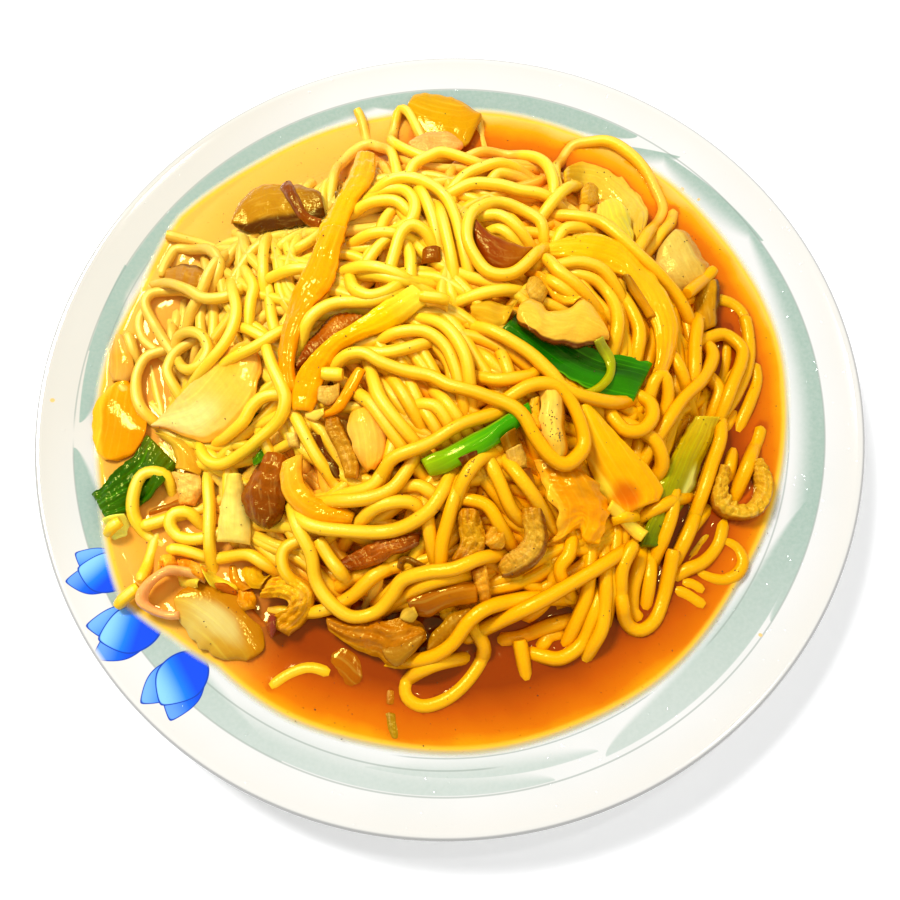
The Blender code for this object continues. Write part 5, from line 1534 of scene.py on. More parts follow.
def noodle_look(settings):
    """Wet yellow egg noodle, browner deep in the sauce, with painted shade and a painted highlight on its
    crest.
    """
    look = Look("egg_noodle")
    place = look.place()
    low, upward = look.value("deep"), look.value("upward")
    cloud = look.noise(place, 16.0, 3.0)
    tint = look.math("MULTIPLY_ADD", look.value("tint"), 0.25, look.times(cloud, 0.3))
    wetter = look.towards(place, (0.7, -0.7), -70.0, 80.0, 0.85)
    sauced = look.span(look.math("ADD", tint, wetter), 0.3, 1.1)
    colour = look.mix(sauced, settings.colour, settings.sauced)
    tan = look.times(look.towards(place, (-0.8, 0.6), 60.0, 95.0), look.span(cloud, 0.1, 0.5))
    colour = look.mix(look.times(tan, 0.75), colour, (0.74, 0.43, 0.06))
    soaked = look.times(look.towards(place, (0.3, 0.95), 60.0, 78.0), look.span(low, 0.25, 0.5))
    colour = look.mix(soaked, colour, (0.96, 0.46, 0.03))
    # Painted shade: the noodles turn darker and browner towards the right.
    colour = look.mix(look.towards(place, (0.95, -0.3), 50.0, 105.0, 0.35), colour, (0.7, 0.33, 0.0))
    # Each noodle is darker on its sides and underside, more so where it is wetter: partly sauce settling there,
    # partly painted shade.
    sides = look.times(look.span(upward, 0.9, 0.2), look.math("MULTIPLY_ADD", wetter, 0.75, 0.1))
    colour = look.mix(sides, colour, (0.58, 0.19, 0.0))
    # Painted highlight: the upward-facing crest of each noodle is paler, less so where the noodles are wetter.
    painted_highlight_reach = look.math("MULTIPLY_ADD", wetter, -1.3, 0.85, clamp=True)
    colour = look.mix(look.times(look.span(upward, 0.82, 0.98), painted_highlight_reach), colour, (0.97, 0.7, 0.15))
    # Noodles low in the heap take the deep colour, partly sauce stain and partly painted shade; towards the
    # left, painted light lifts it to a golden colour.
    golden = look.towards(place, (-0.8, 0.5), -5.0, 60.0, 0.8)
    colour = look.mix(look.span(low, 0.5, 1.15), colour, look.mix(golden, settings.deep, (1.0, 0.7, 0.1)))
    clinging = look.towards(place, (-1.0, 0.35), 20.0, 62.0)
    sauce = look.mix(clinging, (0.68, 0.17, 0.0), (0.8, 0.38, 0.04))
    colour = look.mix(look.span(low, 4.0, 18.0), colour, sauce)
    specks = look.span(look.noise(place, 0.9, 2.0, 0.8), 0.73, 0.78)
    colour = look.mix(look.times(specks, 0.5), colour, paint(150, 70, 0))
    look.set(Base_Color=colour, Roughness=0.24, Specular_IOR_Level=0.5, Specular_Tint=(1.0, 0.92, 0.22),
             Subsurface_Weight=0.25, Subsurface_Radius=(1.0, 0.7, 0.1), Subsurface_Scale=2.2 * MM,
             Normal=look.relief(look.noise(place, 1.3, 3.0, 0.6), 0.17))
    return look


def food_look(name, roughness, grain, glow, relief, sparkle, stain, streak):
    """Soft wet food: its own colours, fibres along it, darker patches and a wet skin."""
    look = Look(name)
    along, across = grain
    place = look.place()
    tone = look.node("ShaderNodeAttribute", attribute_name="tone").outputs["Color"]
    fibre = look.noise(look.along((1.0 / along, 1.0 / across, 1.0)), 1.0, 3.0, 0.6)
    patches = look.span(look.noise(place, 5.0, 3.0), 0.45, 0.75, 0.0, 0.45)
    share = look.math("ADD", look.span(fibre, 0.35, 0.75, 0.0, 0.55), patches)
    colour = look.mix(look.times(share, stain), tone, (0.88, 0.62, 0.25), "MULTIPLY")
    pale = look.noise(look.along((0.6 / along, 0.7 / across, 1.0)), 1.0)
    colour = look.mix(look.span(pale, 0.52, 0.7), colour, streak, "ADD")
    skin = look.span(look.noise(place, 0.75, 1.0), 0.3, 0.7)
    height = look.math("MULTIPLY_ADD", skin, sparkle, look.times(fibre, relief))
    look.set(Base_Color=colour, Roughness=roughness, Specular_IOR_Level=0.5, Specular_Tint=FOOD_SHINE,
             Subsurface_Weight=glow, Subsurface_Radius=(1.0, 0.85, 0.3), Subsurface_Scale=1.6 * MM,
             Normal=look.relief(height, 1.0))
    return look


@cache
def topping_look(kind):
    """The finish of a kind of topping, made once."""
    return food_look(*FINISHES[kind])


def pepper_look():
    look = Look("black_pepper")
    shade = look.noise(look.place(), 0.8)
    look.set(Base_Color=look.mix(shade, paint(30, 18, 8), paint(110, 60, 20)), Roughness=0.6)
    return look


def floor_look():
    look = Look("pale_floor")
    grain = look.noise(look.place(), 40.0)
    look.set(Base_Color=look.mix(grain, paint(253, 253, 253), paint(250, 250, 250)), Roughness=0.9,
             Emission_Color=(1.0, 1.0, 1.0), Emission_Strength=0.12)
    return look


class NodeLevels:
    """Heights of a solid node's lower and upper face along a plan path."""

    def __init__(self, name):
        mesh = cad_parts[name].data
        points = [vertex.co / MM for vertex in mesh.vertices]
        self.tree = BVHTree.FromPolygons(points, [tuple(face.vertices) for face in mesh.polygons])

    def at(self, x, y):
        """Lower and upper height at a place, or None beside the node."""
        high = self.tree.ray_cast(Vector((x, y, 150.0)), Vector((0.0, 0.0, -1.0)))[0]
        low = self.tree.ray_cast(Vector((x, y, -10.0)), Vector((0.0, 0.0, 1.0)))[0]
        if high is None or low is None:
            return None
        return low.z, high.z

    def along(self, points, left, half):
        """Lower height on the middle line, and how it tilts across, at each point of a path."""
        places, middles, tilts = [], [], []
        for i, (point, side, reach) in enumerate(zip(points, left, half)):
            a = self.at(*(point - 0.5 * reach * side))
            b = self.at(*(point + 0.5 * reach * side))
            centre = self.at(*point) or a or b
            if centre is None:
                continue
            places.append(i)
            middles.append(centre[0])
            tilts.append(0.0 if a is None or b is None else 0.5 * (b[1] - a[1]) / (0.5 * reach))
        if not places:
            raise ValueError("a topping lies beside the solid that it stands for")
        every = np.arange(len(points))
        return np.interp(every, places, middles), np.interp(every, places, tilts)


def section_faces(section, v, t):
    """Lower and upper face of a topping, as shares of its thickness: v goes across it, t along it."""
    arch = np.sqrt(1.0 - v ** 2)
    if section == "petal":
        low = 0.45 * (1.0 - v ** 2)
        return low, low + 0.3 + 0.5 * arch
    if section == "strip":
        return 0.25 * (1.0 - v ** 2), 0.45 + 0.75 * arch
    if section == "leaf":
        wave = 0.5 * (1.0 + np.sin(9.0 * t + 2.0 * v))
        return wave, wave + 0.55
    if section == "cap":
        return 0.28 * (1.0 - v ** 2), 0.35 + 0.65 * (1.0 - np.abs(v) ** 3.0)
    if section == "round":
        return 0.5 - 0.5 * arch, 0.5 + 0.5 * arch
    return 0.1 * v ** 4, 1.0 - 0.45 * v ** 4


def crosswise(spec):
    """A topping's rows in plan: their left and right ends, and how far along it they lie."""
    sides = []
    for edge in (spec["left"], spec["right"]):
        line, lengths = smooth_path(edge, 0.5)
        even = np.linspace(0.0, lengths[-1], EDGE_POINTS)
        sides.append(np.stack([np.interp(even, lengths, column) for column in line.T], axis=1))
    middle = 0.5 * (sides[0] + sides[1])
    lengths = np.concatenate([[0.0], np.cumsum(np.linalg.norm(np.diff(middle, axis=0), axis=1))])
    count = int(np.clip(lengths[-1] / ROW_STEP, 14, 130))
    even = np.linspace(END_INSET, 1.0 - END_INSET, count) * lengths[-1]
    a, b = [np.stack([np.interp(even, lengths, column) for column in side.T], axis=1) for side in sides]
    return a, b, even - even[0]


def lie_of(pile, name, spec, points, left, half):
    """Height of what a topping lies on and how that tilts across it, at each of its rows."""
    flat = np.zeros(len(points))
    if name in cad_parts:
        base, tilt = NodeLevels(name).along(points, left, half)
    elif "level" in spec:
        base, tilt = flat + spec["level"] - 0.5 * spec["thick"], flat
    else:
        base, tilt = pile.lie(points, 0.5 * half.mean()), flat
    return smoothed(base, 30), np.clip(smoothed(tilt, 30), -0.6, 0.6)


def unit_steps(points):
    """The direction of a path at each of its points."""
    step = np.gradient(points, axis=0)
    return step / np.maximum(np.linalg.norm(step, axis=1), 0.001)[:, None]


def carved(spec, grain, v, seed):
    """Ridges along the piece, and grooves across it, in millimetres."""
    height = np.zeros(v.shape)
    if "ribs" in spec:
        count, depth = spec["ribs"]
        sway = 0.5 * uneven(grain, 16.0, seed + 11)
        height += depth * np.sin(math.pi * count * v + 2.0 * sway)
    if "gills" in spec:
        spacing, depth, slant = spec["gills"]
        place = grain[..., 0] + slant * grain[..., 1] + 0.5 * uneven(grain, 7.0, seed + 12)
        height += depth * np.sin(math.tau / spacing * place)
    return height


def food_colour(colour):
    """A screen colour as wet food shows it, with hardly any blue in it."""
    return np.array(lit(*colour)) * (1.0, 1.0, 0.45, 1.0)


def tones_of(spec, t, v):
    """The colour of each point: along the piece, then at its rim, then in its marks."""
    colours = np.array([food_colour(colour) for colour in spec["tone"]])
    stops = np.linspace(0.0, 1.0, len(colours))
    tone = np.stack([np.interp(t, stops, colours[:, k]) for k in range(4)], axis=1)
    tone = np.repeat(tone[:, None, :], v.shape[1], axis=1)
    if "rim" in spec:
        colour, side, width = spec["rim"]
        share = eased_step((side * v - 1.0 + 1.3 * width) / (0.6 * width))[..., None]
        tone = tone + (food_colour(colour) - tone) * share
    for at_t, at_v, long, wide, colour in spec["marks"]:
        away = np.hypot((t[:, None] - at_t) / long, (v - at_v) / wide)
        share = eased_step(1.4 - away)[..., None]
        tone = tone + (food_colour(colour) - tone) * share
    return tone


def solid_between(name, over, under, grain, look, tones):
    """A closed solid between two grids of points that share their outline in plan."""
    rows, columns = over.shape[:2]
    count = rows * columns
    index = np.arange(count).reshape(rows, columns)
    faces = []
    for i in range(rows - 1):
        for j in range(columns - 1):
            a, b, c, d = index[i, j], index[i, j + 1], index[i + 1, j + 1], index[i + 1, j]
            faces.append((a, b, c, d))
            faces.append((count + d, count + c, count + b, count + a))
    border = np.concatenate([index[0], index[1:, -1], index[-1, -2::-1], index[-2:0:-1, 0]])
    for a, b in zip(border, np.roll(border, -1)):
        faces.append((b, a, count + a, count + b))
    points = np.vstack([over.reshape(-1, 3), under.reshape(-1, 3)])
    twice = np.vstack([tones.reshape(-1, 4)] * 2)
    fibres = np.vstack([grain.reshape(-1, 2)] * 2)
    return new_piece(name, points, faces, look, grain=fibres, tones=twice)


def build_topping(name, spec):
    """A finished topping between its two edges, on the solid node that it stands for or on the pile."""
    kind = spec.get("kind", name.partition("_")[0])
    spec = {"section": USUAL_SECTION[kind], **USUAL, **spec}
    pile, seed, thick = shared_pile(), sum(map(ord, name)), spec["thick"]
    a, b, along = crosswise(spec)
    points = 0.5 * (a + b)
    width = np.linalg.norm(b - a, axis=1)
    half = np.maximum(0.5 * width, 0.05)
    left = (b - a) / np.maximum(width, 0.001)[:, None]
    t = along / along[-1]
    columns = int(np.clip(2.0 * half.max() / COLUMN_STEP, 12, 40))
    v = -np.cos(np.linspace(0.0, math.pi, columns)) * 0.99
    base, tilt = lie_of(pile, name, spec, points, left, half)
    base = base - np.interp(t, (0.0, 1.0), spec["sink"])
    strip = np.stack([along, 0.0 * along], axis=1)
    wander = [1.0 + spec["ragged"] * uneven(strip, 5.0, seed + k) for k in (1, 2)]
    across = np.where(v[None, :] < 0.0, wander[0][:, None], wander[1][:, None]) * half[:, None] * v[None, :]
    plan = points[:, None, :] + left[:, None, :] * across[..., None]
    if "notch" in spec:
        middle, spread, depth = spec["notch"]
        pull = depth * eased_step((t - 0.55) / 0.45)[:, None] * np.exp(-((v - middle) / spread) ** 2)
        plan = plan - unit_steps(points)[:, None, :] * pull[..., None]
    grain = np.dstack([np.repeat(along[:, None], columns, axis=1), across])
    v = np.repeat(v[None, :], len(along), axis=0)
    low, high = section_faces(spec["section"], v, t[:, None] + 0.0 * v)
    rough, size, ends = spec["rough"], spec["lump"], spec["ends"]
    lumps = rough * uneven(grain, size, seed + 5) + 0.4 * rough * uneven(grain, size * 0.35, seed + 6)
    closing = np.clip(1.0 - np.abs(2.0 * t - 1.0) ** ends, 0.0, 1.0) ** (1.0 / ends)
    body = np.clip(closing, 0.0, 1.0)[:, None] ** 0.5
    middle = 0.5 * (low + high)
    low = middle + (low - middle) * body + 0.5 * lumps
    high = middle + (high - middle) * body + lumps
    lie = base[:, None] + tilt[:, None] * across
    bottom = lie + thick * low
    top = lie + thick * high + body * carved(spec, grain, v, seed)
    top = np.minimum(np.maximum(top, bottom + 0.12), HIGHEST)
    over, under = np.dstack([plan, top]), np.dstack([plan, np.minimum(bottom, top - 0.1)])
    piece = solid_between(name + "_food", over, under, grain, topping_look(kind), tones_of(spec, t, v))
    settle(piece, kind, *([name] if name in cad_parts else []))
    pile.add_topping(over, under)


def build_group(kind):
    """Every topping of a kind."""
    for name, spec in TOPPINGS.items():
        if name.startswith(kind + "_"):
            build_topping(name, spec)


def plate_profile():
    """Radius and height along the plate's surface, from its middle over the lip to the foot's recess."""
    inner = np.linspace(0.0, FLOOR_RADIUS, 7)[1:-1]
    side = np.linspace(FLOOR_RADIUS, FLANGE_START, 20)
    flange = np.linspace(FLANGE_START, FLANGE_END, 6)[1:]
    upper = [(r, plate_top(r)) for r in np.concatenate([inner, side, flange])]
    lip = [(PLATE_RADIUS - LIP_ROUND + LIP_ROUND * math.cos(turn), LIP_MIDDLE + LIP_ROUND * math.sin(turn))
           for turn in np.linspace(math.radians(75), math.radians(-75), 9)]
    under = []
    for r in side[side >= FOOT_OUTER + 3.0][::-1]:
        lean = math.asin((r - FLOOR_RADIUS) / SIDE_CURVE)
        under.append((r + WALL * math.sin(lean), plate_top(r) - WALL * math.cos(lean)))
    foot = [(FOOT_OUTER + FOOT_TAPER, under[-1][1] - 0.5), (FOOT_OUTER + 0.3, 0.5), (FOOT_OUTER - 0.3, 0.0),
            (FOOT_INNER + 0.3, 0.0), (FOOT_INNER - 0.2, 0.4), (FOOT_INNER - FOOT_TAPER, RECESS_HEIGHT)]
    recess = [(r, RECESS_HEIGHT) for r in (50.0, 25.0)]
    return upper + lip + under + foot + recess, len(upper)


def build_plate(settings):
    """The turned plate with a rounded lip and foot, in the solid's own profile."""
    profile, printed_rings = plate_profile()
    angles = np.linspace(0.0, math.tau, PLATE_SEGMENTS, endpoint=False)
    points = [(0.0, 0.0, FLOOR_TOP)]
    for r, z in profile:
        points += [(r * math.cos(a), r * math.sin(a), z) for a in angles]
    points.append((0.0, 0.0, RECESS_HEIGHT))
    last = len(points) - 1
    faces = []
    for k in range(PLATE_SEGMENTS):
        after = (k + 1) % PLATE_SEGMENTS
        faces.append((0, 1 + k, 1 + after))
        for ring in range(len(profile) - 1):
            a, b = 1 + ring * PLATE_SEGMENTS, 1 + (ring + 1) * PLATE_SEGMENTS
            faces.append((a + k, b + k, b + after, a + after))
        faces.append((last, last - PLATE_SEGMENTS + after, last - PLATE_SEGMENTS + k))
    upper = np.arange(len(points)) <= printed_rings * PLATE_SEGMENTS
    piece = new_piece("plate_glazed", points, faces, glaze_look(settings), values={"upper": upper})
    piece.data.set_sharp_from_angle(angle=math.radians(60))
    settle(piece, "plate", "plate")


def sauce_edge(angles):
    """Radius of the sauce's outer edge round the plate."""
    shore = np.interp(np.degrees(angles), SHORE_ANGLES, SHORE_RADII, period=360.0)
    return shore + 0.3 * np.sin(5.0 * angles + 1.0) + 0.25 * np.sin(11.0 * angles)


def ring_between(name, over, under, look, values):
    """A closed ring between two grids of points whose columns go round."""
    rings, spokes = over.shape[:2]
    loop = np.vstack([over.reshape(-1, 3), under[::-1].reshape(-1, 3)])
    faces = []
    for ring in range(2 * rings):
        a, b = ring * spokes, (ring + 1) % (2 * rings) * spokes
        for k in range(spokes):
            after = (k + 1) % spokes
            faces.append((a + k, b + k, b + after, a + after))
    twice = {key: np.vstack([numbers, numbers[::-1]]).ravel() for key, numbers in values.items()}
    return new_piece(name, loop, faces, look, values=twice)


def build_sauce(settings):
    """The pool of sauce, thin and pale at its edge, creeping up what stands in it."""
    pile = shared_pile()
    angles = np.linspace(0.0, math.tau, SAUCE_SPOKES, endpoint=False)
    edge = sauce_edge(angles)
    inner = HEAP_RADIUS * SAUCE_INNER
    ways = np.column_stack([np.cos(angles), np.sin(angles)])
    start = np.array(HEAP_CENTRE) + inner * ways
    end = edge[:, None] * ways
    share = np.linspace(0.0, 1.0, SAUCE_RINGS)[:, None, None] ** 0.8
    plan = start[None] + (end - start)[None] * share
    radius = np.hypot(plan[..., 0], plan[..., 1])
    floor = plate_top(radius)
    cells = pile.cells(plan.reshape(-1, 2))
    near = pile.top[cells[:, 0], cells[:, 1]].reshape(radius.shape)
    creep = np.clip(near - SAUCE_LEVEL, 0.0, CREEP)
    for _ in range(3):
        creep = smoothed(creep, 1)
        creep = 0.25 * np.roll(creep, 1, 1) + 0.5 * creep + 0.25 * np.roll(creep, -1, 1)
    level = SAUCE_LEVEL + 0.6 * creep + 0.08 * uneven(plan, 16.0, 8)
    rim = eased_step((1.0 - share[..., 0]) / 0.05)
    top = np.maximum(floor + 0.06 + 0.3 * rim, level * rim + (floor + 0.06) * (1.0 - rim))
    deep = np.clip((top - floor) / 8.0, 0.0, 1.0) ** 0.75
    # Painted shade: the sauce is darkened near the heap, as if in its shade, and more where food stands over
    # it, on top of its real depth.
    shade = 1.0 - eased_step((radius - SAUCE_SHADE[0]) / SAUCE_SHADE[1])
    beside = np.clip(near - SAUCE_LEVEL, 0.0, 1.0)
    deep = np.clip(0.75 * deep + 0.35 * shade * deep + 0.25 * beside * deep, 0.0, 1.0)
    side = np.degrees(np.arctan2(plan[..., 1], plan[..., 0]))
    deep *= np.interp(side, SAUCE_SIDES, SAUCE_DARK, period=360.0)
    over = np.dstack([plan, top])
    under = np.dstack([plan, np.minimum(floor + 0.03, top - 0.02)])
    shore = np.clip((edge[None, :] - radius) / SHORE, 0.0, 1.0)
    piece = ring_between("sauce_pool", over, under, sauce_look(settings), {"depth": deep, "shore": shore})
    settle(piece, "sauce", "sauce")


def build_core(look):
    """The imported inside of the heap: shade between the noodles, and a sauced shelf where none lie over it."""
    angles = np.linspace(0.0, math.tau, CORE_SPOKES, endpoint=False)
    out = np.linspace(0.03, 0.98, CORE_RINGS)[:, None] * heap_radius(angles)
    x, y = HEAP_CENTRE[0] + out * np.cos(angles), HEAP_CENTRE[1] + out * np.sin(angles)
    radius = np.hypot(x, y)
    floor = plate_top(radius)
    over = np.dstack([x, y, np.maximum(core_top(x, y), floor + 0.1)])
    under = np.dstack([x, y, floor + 0.05])
    reach = np.interp(np.degrees(np.arctan2(y, x)), LOOSE_ANGLES, LOOSE_RADII, period=360.0)
    bare = np.clip((radius - reach + BARE_START) / BARE_BLEND, 0.0, 1.0)
    values = {"deep": 1.0 + BARE_DEPTH * bare, "tint": np.full(radius.shape, 0.5)}
    piece = ring_between("noodle_core", over, under, look, values)
    settle(piece, "noodles", "noodles")


def build_noodles(settings):
    """The noodles, layer over layer, and the small pieces between them."""
    pile = shared_pile()
    look = noodle_look(settings)
    radius = 0.5 * settings.thickness / MM
    build_core(look)
    loose = lay_loose(pile, radius, settings.loose, settings.layers)
    cut = [False] * len(loose)
    build_strands("noodles_loose", loose, cut, radius, look, max(5, settings.sides - 3), 5)
    for name, spec in MORSELS.items():
        build_topping(name, spec)
    pile.take_in_toppings()
    cut = [route[0] != "over" for route in SHOWN]
    build_strands("noodles_shown", lay_shown(pile, radius), cut, radius, look, settings.sides, 7)


def speck_tree(look):
    """Nodes that put a tiny crushed grain on every point."""
    tree = Tree(look.material.name + "_grains", "Spots", Size=0.0004, Seed=3)
    seed = tree.start["Seed"]
    grain = tree.add("GeometryNodeMeshIcoSphere", {"Radius": tree.start["Size"], "Subdivisions": 1})
    turn = tree.add("FunctionNodeRandomValue", {"Max": [math.tau] * 3, "Seed": seed},
                    data_type="FLOAT_VECTOR")
    shape = tree.add("FunctionNodeRandomValue",
                     {"Min": (0.5, 0.35, 0.3), "Max": (1.4, 1.0, 0.8), "Seed": seed},
                     data_type="FLOAT_VECTOR")
    scatter = tree.add("GeometryNodeInstanceOnPoints",
                       {"Points": tree.start["Spots"], "Instance": grain["Mesh"],
                        "Rotation": turn["Value"], "Scale": shape["Value"]})
    return tree.finish(scatter["Instances"], look)


def pepper_spots(pile, count, seed):
    """Seeded places on top of the food and sauce: first in the thick patches, then all over the plate."""
    draw = np.random.default_rng(seed)
    spots = []
    patches = [(x, y, spread) for x, y, spread, grains in PEPPER_PATCHES for _ in range(grains)]
    while len(spots) < count:
        radius = PEPPER_REACH * math.sqrt(draw.uniform())
        angle = draw.uniform(0.0, math.tau)
        x, y = radius * math.cos(angle), radius * math.sin(angle)
        if patches:
            x, y, spread = patches.pop()
            x, y = draw.normal(x, spread), draw.normal(y, spread)
        i, j = pile.cells(np.array([[x, y]]))[0]
        height = max(pile.top[i, j], SAUCE_LEVEL)
        if height < HIGHEST - 0.2:
            spots.append((x, y, height + 0.02))
    return np.array(spots)


def build_pepper(settings):
    """Grains of pepper on the food and the sauce."""
    spots = pepper_spots(shared_pile(), settings.pepper, PEPPER_SEED)
    sizes = {"Size": settings.pepper_size, "Seed": 3}
    settle(speck_tree(pepper_look()).grow("pepper_grains", spots, [], {}, sizes), "noodles")


def add_light(name, place, size, power, glints):
    """A square soft light that looks at the food, and that the wet food mirrors or not."""
    light = bpy.data.lights.new(name, "AREA")
    light.size = size
    light.energy = power
    holder = link_object(name, light)
    holder.location = place
    holder.rotation_euler = (Vector(LIGHT_TARGET) - Vector(place)).to_track_quat("-Z", "Y").to_euler()
    holder.visible_glossy = glints


def add_camera():
    """The camera over the eater's side, looking steeply down."""
    target = Vector(CAMERA_TARGET) * MM
    elevation, roll = math.radians(CAMERA_ELEVATION), math.radians(CAMERA_ROLL)
    back = Vector((0.0, -math.cos(elevation), math.sin(elevation)))
    right = Vector((1.0, 0.0, 0.0))
    up = back.cross(right)
    level_right = right * math.cos(roll) + up * math.sin(roll)
    level_up = up * math.cos(roll) - right * math.sin(roll)
    camera = bpy.data.cameras.new("camera")
    camera.sensor_width = 36.0
    camera.lens = CAMERA_LENS
    camera.clip_start = 0.01
    camera.clip_end = 20.0
    holder = link_object("camera", camera)
    turn = Matrix((level_right, level_up, back)).transposed().to_4x4()
    holder.matrix_world = Matrix.Translation(target + back * CAMERA_DISTANCE) @ turn
    return holder


def build_stage(settings):
    """The pale floor, the lights, the even light all round and the camera."""
    scene = bpy.context.scene
    bpy.ops.mesh.primitive_plane_add(size=4.0, location=(0.0, 0.0, FLOOR_HEIGHT))
    floor = bpy.context.object
    floor.name = "floor"
    floor.data.materials.append(floor_look().material)
    for name, (place, size, share, glints) in LIGHTS.items():
        add_light(name, place, size, settings.key * share, glints)
    scene.world = bpy.data.worlds.new("studio")
    scene.world.use_nodes = True
    sky = scene.world.node_tree.nodes["Background"].inputs
    sky["Color"].default_value = (0.98, 0.99, 1.0, 1.0)
    sky["Strength"].default_value = settings.sky
    scene.view_settings.view_transform = "Standard"
    scene.camera = add_camera()


class PlateSettings(bpy.types.PropertyGroup):
    band: FloatVectorProperty(name="Band", description="Colour of the swooshes round the plate",
                              subtype="COLOR", size=3, min=0.0, max=1.0, default=(0.30, 0.41, 0.34))
    petals: FloatVectorProperty(name="Petals", description="Deep colour of the tulips", subtype="COLOR",
                                size=3, min=0.0, max=1.0, default=(0.0, 0.06, 0.72))


class SauceSettings(bpy.types.PropertyGroup):
    deep: FloatVectorProperty(name="Deep sauce", description="Colour where the sauce is deepest",
                              subtype="COLOR", size=3, min=0.0, max=1.0, default=(0.275, 0.031, 0.0))


class NoodleSettings(bpy.types.PropertyGroup):
    thickness: FloatProperty(name="Thickness", description="Thickness of a noodle", unit="LENGTH",
                             default=4.3 * MM, min=1.0 * MM, max=8.0 * MM)
    loose: IntProperty(name="Loose strands", description="Strands in each layer under the noodles that show",
                       default=120, min=0, max=400)
    layers: IntProperty(name="Layers", description="Layers of loose strands", default=3, min=1, max=6)
    sides: IntProperty(name="Sides", description="Sides of a noodle's section", default=10, min=5, max=24)
    colour: FloatVectorProperty(name="Noodle", description="Colour of a clean noodle", subtype="COLOR",
                                size=3, min=0.0, max=1.0, default=(0.98, 0.63, 0.02))
    sauced: FloatVectorProperty(name="Sauced noodle", description="Colour of a noodle stained by sauce",
                                subtype="COLOR", size=3, min=0.0, max=1.0, default=(0.94, 0.41, 0.0))
    deep: FloatVectorProperty(name="Deep noodle", description="Colour of a noodle low in the heap",
                              subtype="COLOR", size=3, min=0.0, max=1.0, default=(0.94, 0.31, 0.0))


class ToppingSettings(bpy.types.PropertyGroup):
    pepper: IntProperty(name="Pepper", description="Grains of pepper on the food",
                        default=420, min=0, max=4000)
    pepper_size: FloatProperty(name="Pepper size", description="Radius of a grain of pepper", unit="LENGTH",
                               default=0.28 * MM, min=0.05 * MM, max=2.0 * MM)


class StageSettings(bpy.types.PropertyGroup):
    key: FloatProperty(name="Key light", description="Power of the main light", unit="POWER",
                       default=7.0, min=0.0, max=100.0)
    sky: FloatProperty(name="Surroundings", description="Strength of the even light all round",
                       default=0.44, min=0.0, max=5.0)


class ChowPlate(bpy.types.Operator):
    """Build the glazed plate"""
    bl_idname = "chow_mein.plate"
    bl_label = "Plate"

    def execute(self, context):
        build_plate(context.scene.chow_plate)
        return {"FINISHED"}


class ChowLeaves(bpy.types.Operator):
    """Build the dark green leaf strips"""
    bl_idname = "chow_mein.leaves"
    bl_label = "Leaves"

    def execute(self, context):
        build_group("leaf")
        return {"FINISHED"}


class ChowScallions(bpy.types.Operator):
    """Build the scallion pieces"""
    bl_idname = "chow_mein.scallions"
    bl_label = "Scallions"

    def execute(self, context):
        build_group("scallion")
        return {"FINISHED"}


class ChowCabbage(bpy.types.Operator):
    """Build the cabbage pieces"""
    bl_idname = "chow_mein.cabbage"
    bl_label = "Cabbage"

    def execute(self, context):
        build_group("cabbage")
        return {"FINISHED"}


class ChowOnions(bpy.types.Operator):
    """Build the onion petals and strips"""
    bl_idname = "chow_mein.onions"
    bl_label = "Onions"

    def execute(self, context):
        build_group("onion")
        return {"FINISHED"}


class ChowMushrooms(bpy.types.Operator):
    """Build the mushroom slices"""
    bl_idname = "chow_mein.mushrooms"
    bl_label = "Mushrooms"

    def execute(self, context):
        build_group("mushroom")
        return {"FINISHED"}


class ChowPork(bpy.types.Operator):
    """Build the pork pieces"""
    bl_idname = "chow_mein.pork"
    bl_label = "Pork"

    def execute(self, context):
        build_group("pork")
        return {"FINISHED"}


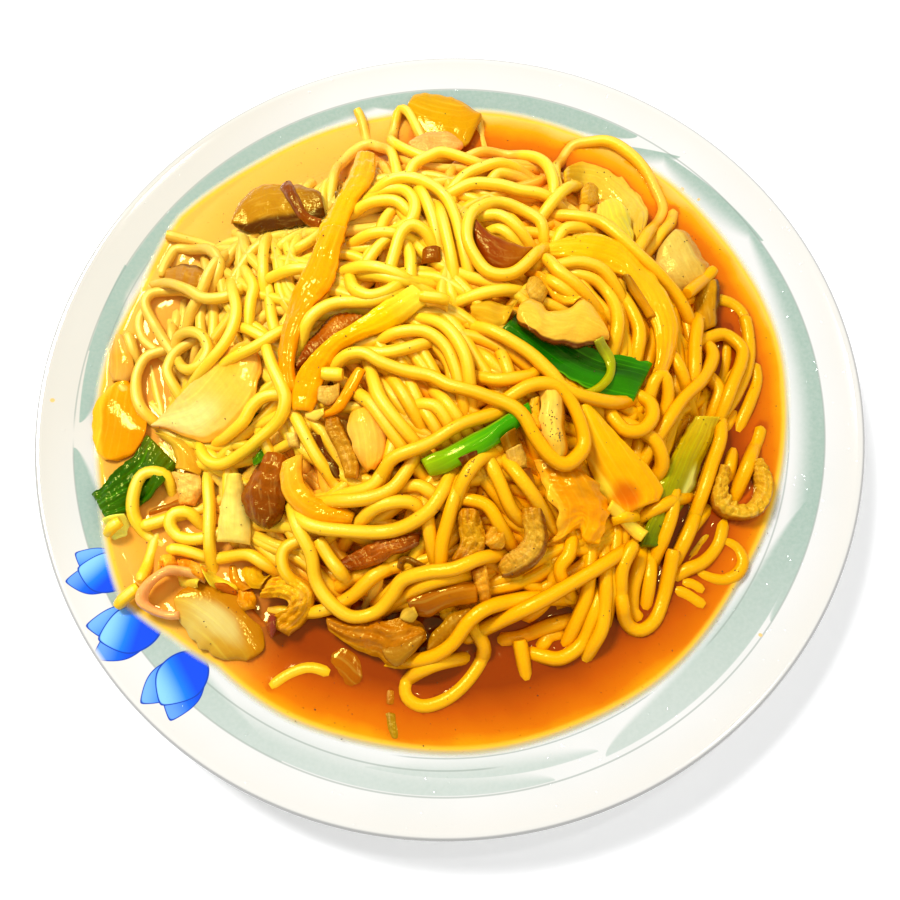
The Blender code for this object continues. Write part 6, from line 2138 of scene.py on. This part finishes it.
class ChowNoodles(bpy.types.Operator):
    """Lay the noodles round and over the toppings"""
    bl_idname = "chow_mein.noodles"
    bl_label = "Noodles"

    def execute(self, context):
        build_noodles(context.scene.chow_noodles)
        return {"FINISHED"}


class ChowSauce(bpy.types.Operator):
    """Pour the sauce round the heap"""
    bl_idname = "chow_mein.sauce"
    bl_label = "Sauce"

    def execute(self, context):
        build_sauce(context.scene.chow_sauce)
        return {"FINISHED"}


class ChowPepper(bpy.types.Operator):
    """Scatter the pepper"""
    bl_idname = "chow_mein.pepper"
    bl_label = "Pepper"

    def execute(self, context):
        build_pepper(context.scene.chow_toppings)
        return {"FINISHED"}


class ChowStage(bpy.types.Operator):
    """Set up the floor, the lights and the camera"""
    bl_idname = "chow_mein.stage"
    bl_label = "Stage"

    def execute(self, context):
        build_stage(context.scene.chow_stage)
        return {"FINISHED"}


class ChowPanel(bpy.types.Panel):
    """Sizes, colours and build steps of the plate of noodles"""
    bl_idname = "VIEW3D_PT_chow_mein"
    bl_label = "Chow mein"
    bl_space_type = "VIEW_3D"
    bl_region_type = "UI"
    bl_category = "Chow mein"

    def draw(self, context):
        for name in SETTINGS:
            group = getattr(context.scene, name)
            box = self.layout.box()
            for key in group.__annotations__:
                box.prop(group, key)
        for step in STEPS:
            self.layout.operator(step.bl_idname)


SETTINGS = {
    "chow_plate": PlateSettings,
    "chow_sauce": SauceSettings,
    "chow_noodles": NoodleSettings,
    "chow_toppings": ToppingSettings,
    "chow_stage": StageSettings,
}
STEPS = (ChowPlate, ChowLeaves, ChowScallions, ChowCabbage, ChowOnions, ChowMushrooms, ChowPork, ChowNoodles,
         ChowSauce, ChowPepper, ChowStage)


def register():
    for item in (*SETTINGS.values(), *STEPS, ChowPanel):
        bpy.utils.register_class(item)
    for name, group in SETTINGS.items():
        setattr(bpy.types.Scene, name, PointerProperty(type=group))


def unregister():
    for name in SETTINGS:
        delattr(bpy.types.Scene, name)
    for item in (ChowPanel, *reversed(STEPS), *reversed(SETTINGS.values())):
        bpy.utils.unregister_class(item)


def main():
    register()
    for step in STEPS:
        module, operator = step.bl_idname.split(".")
        getattr(getattr(bpy.ops, module), operator)()


if __name__ == "__main__":
    main()
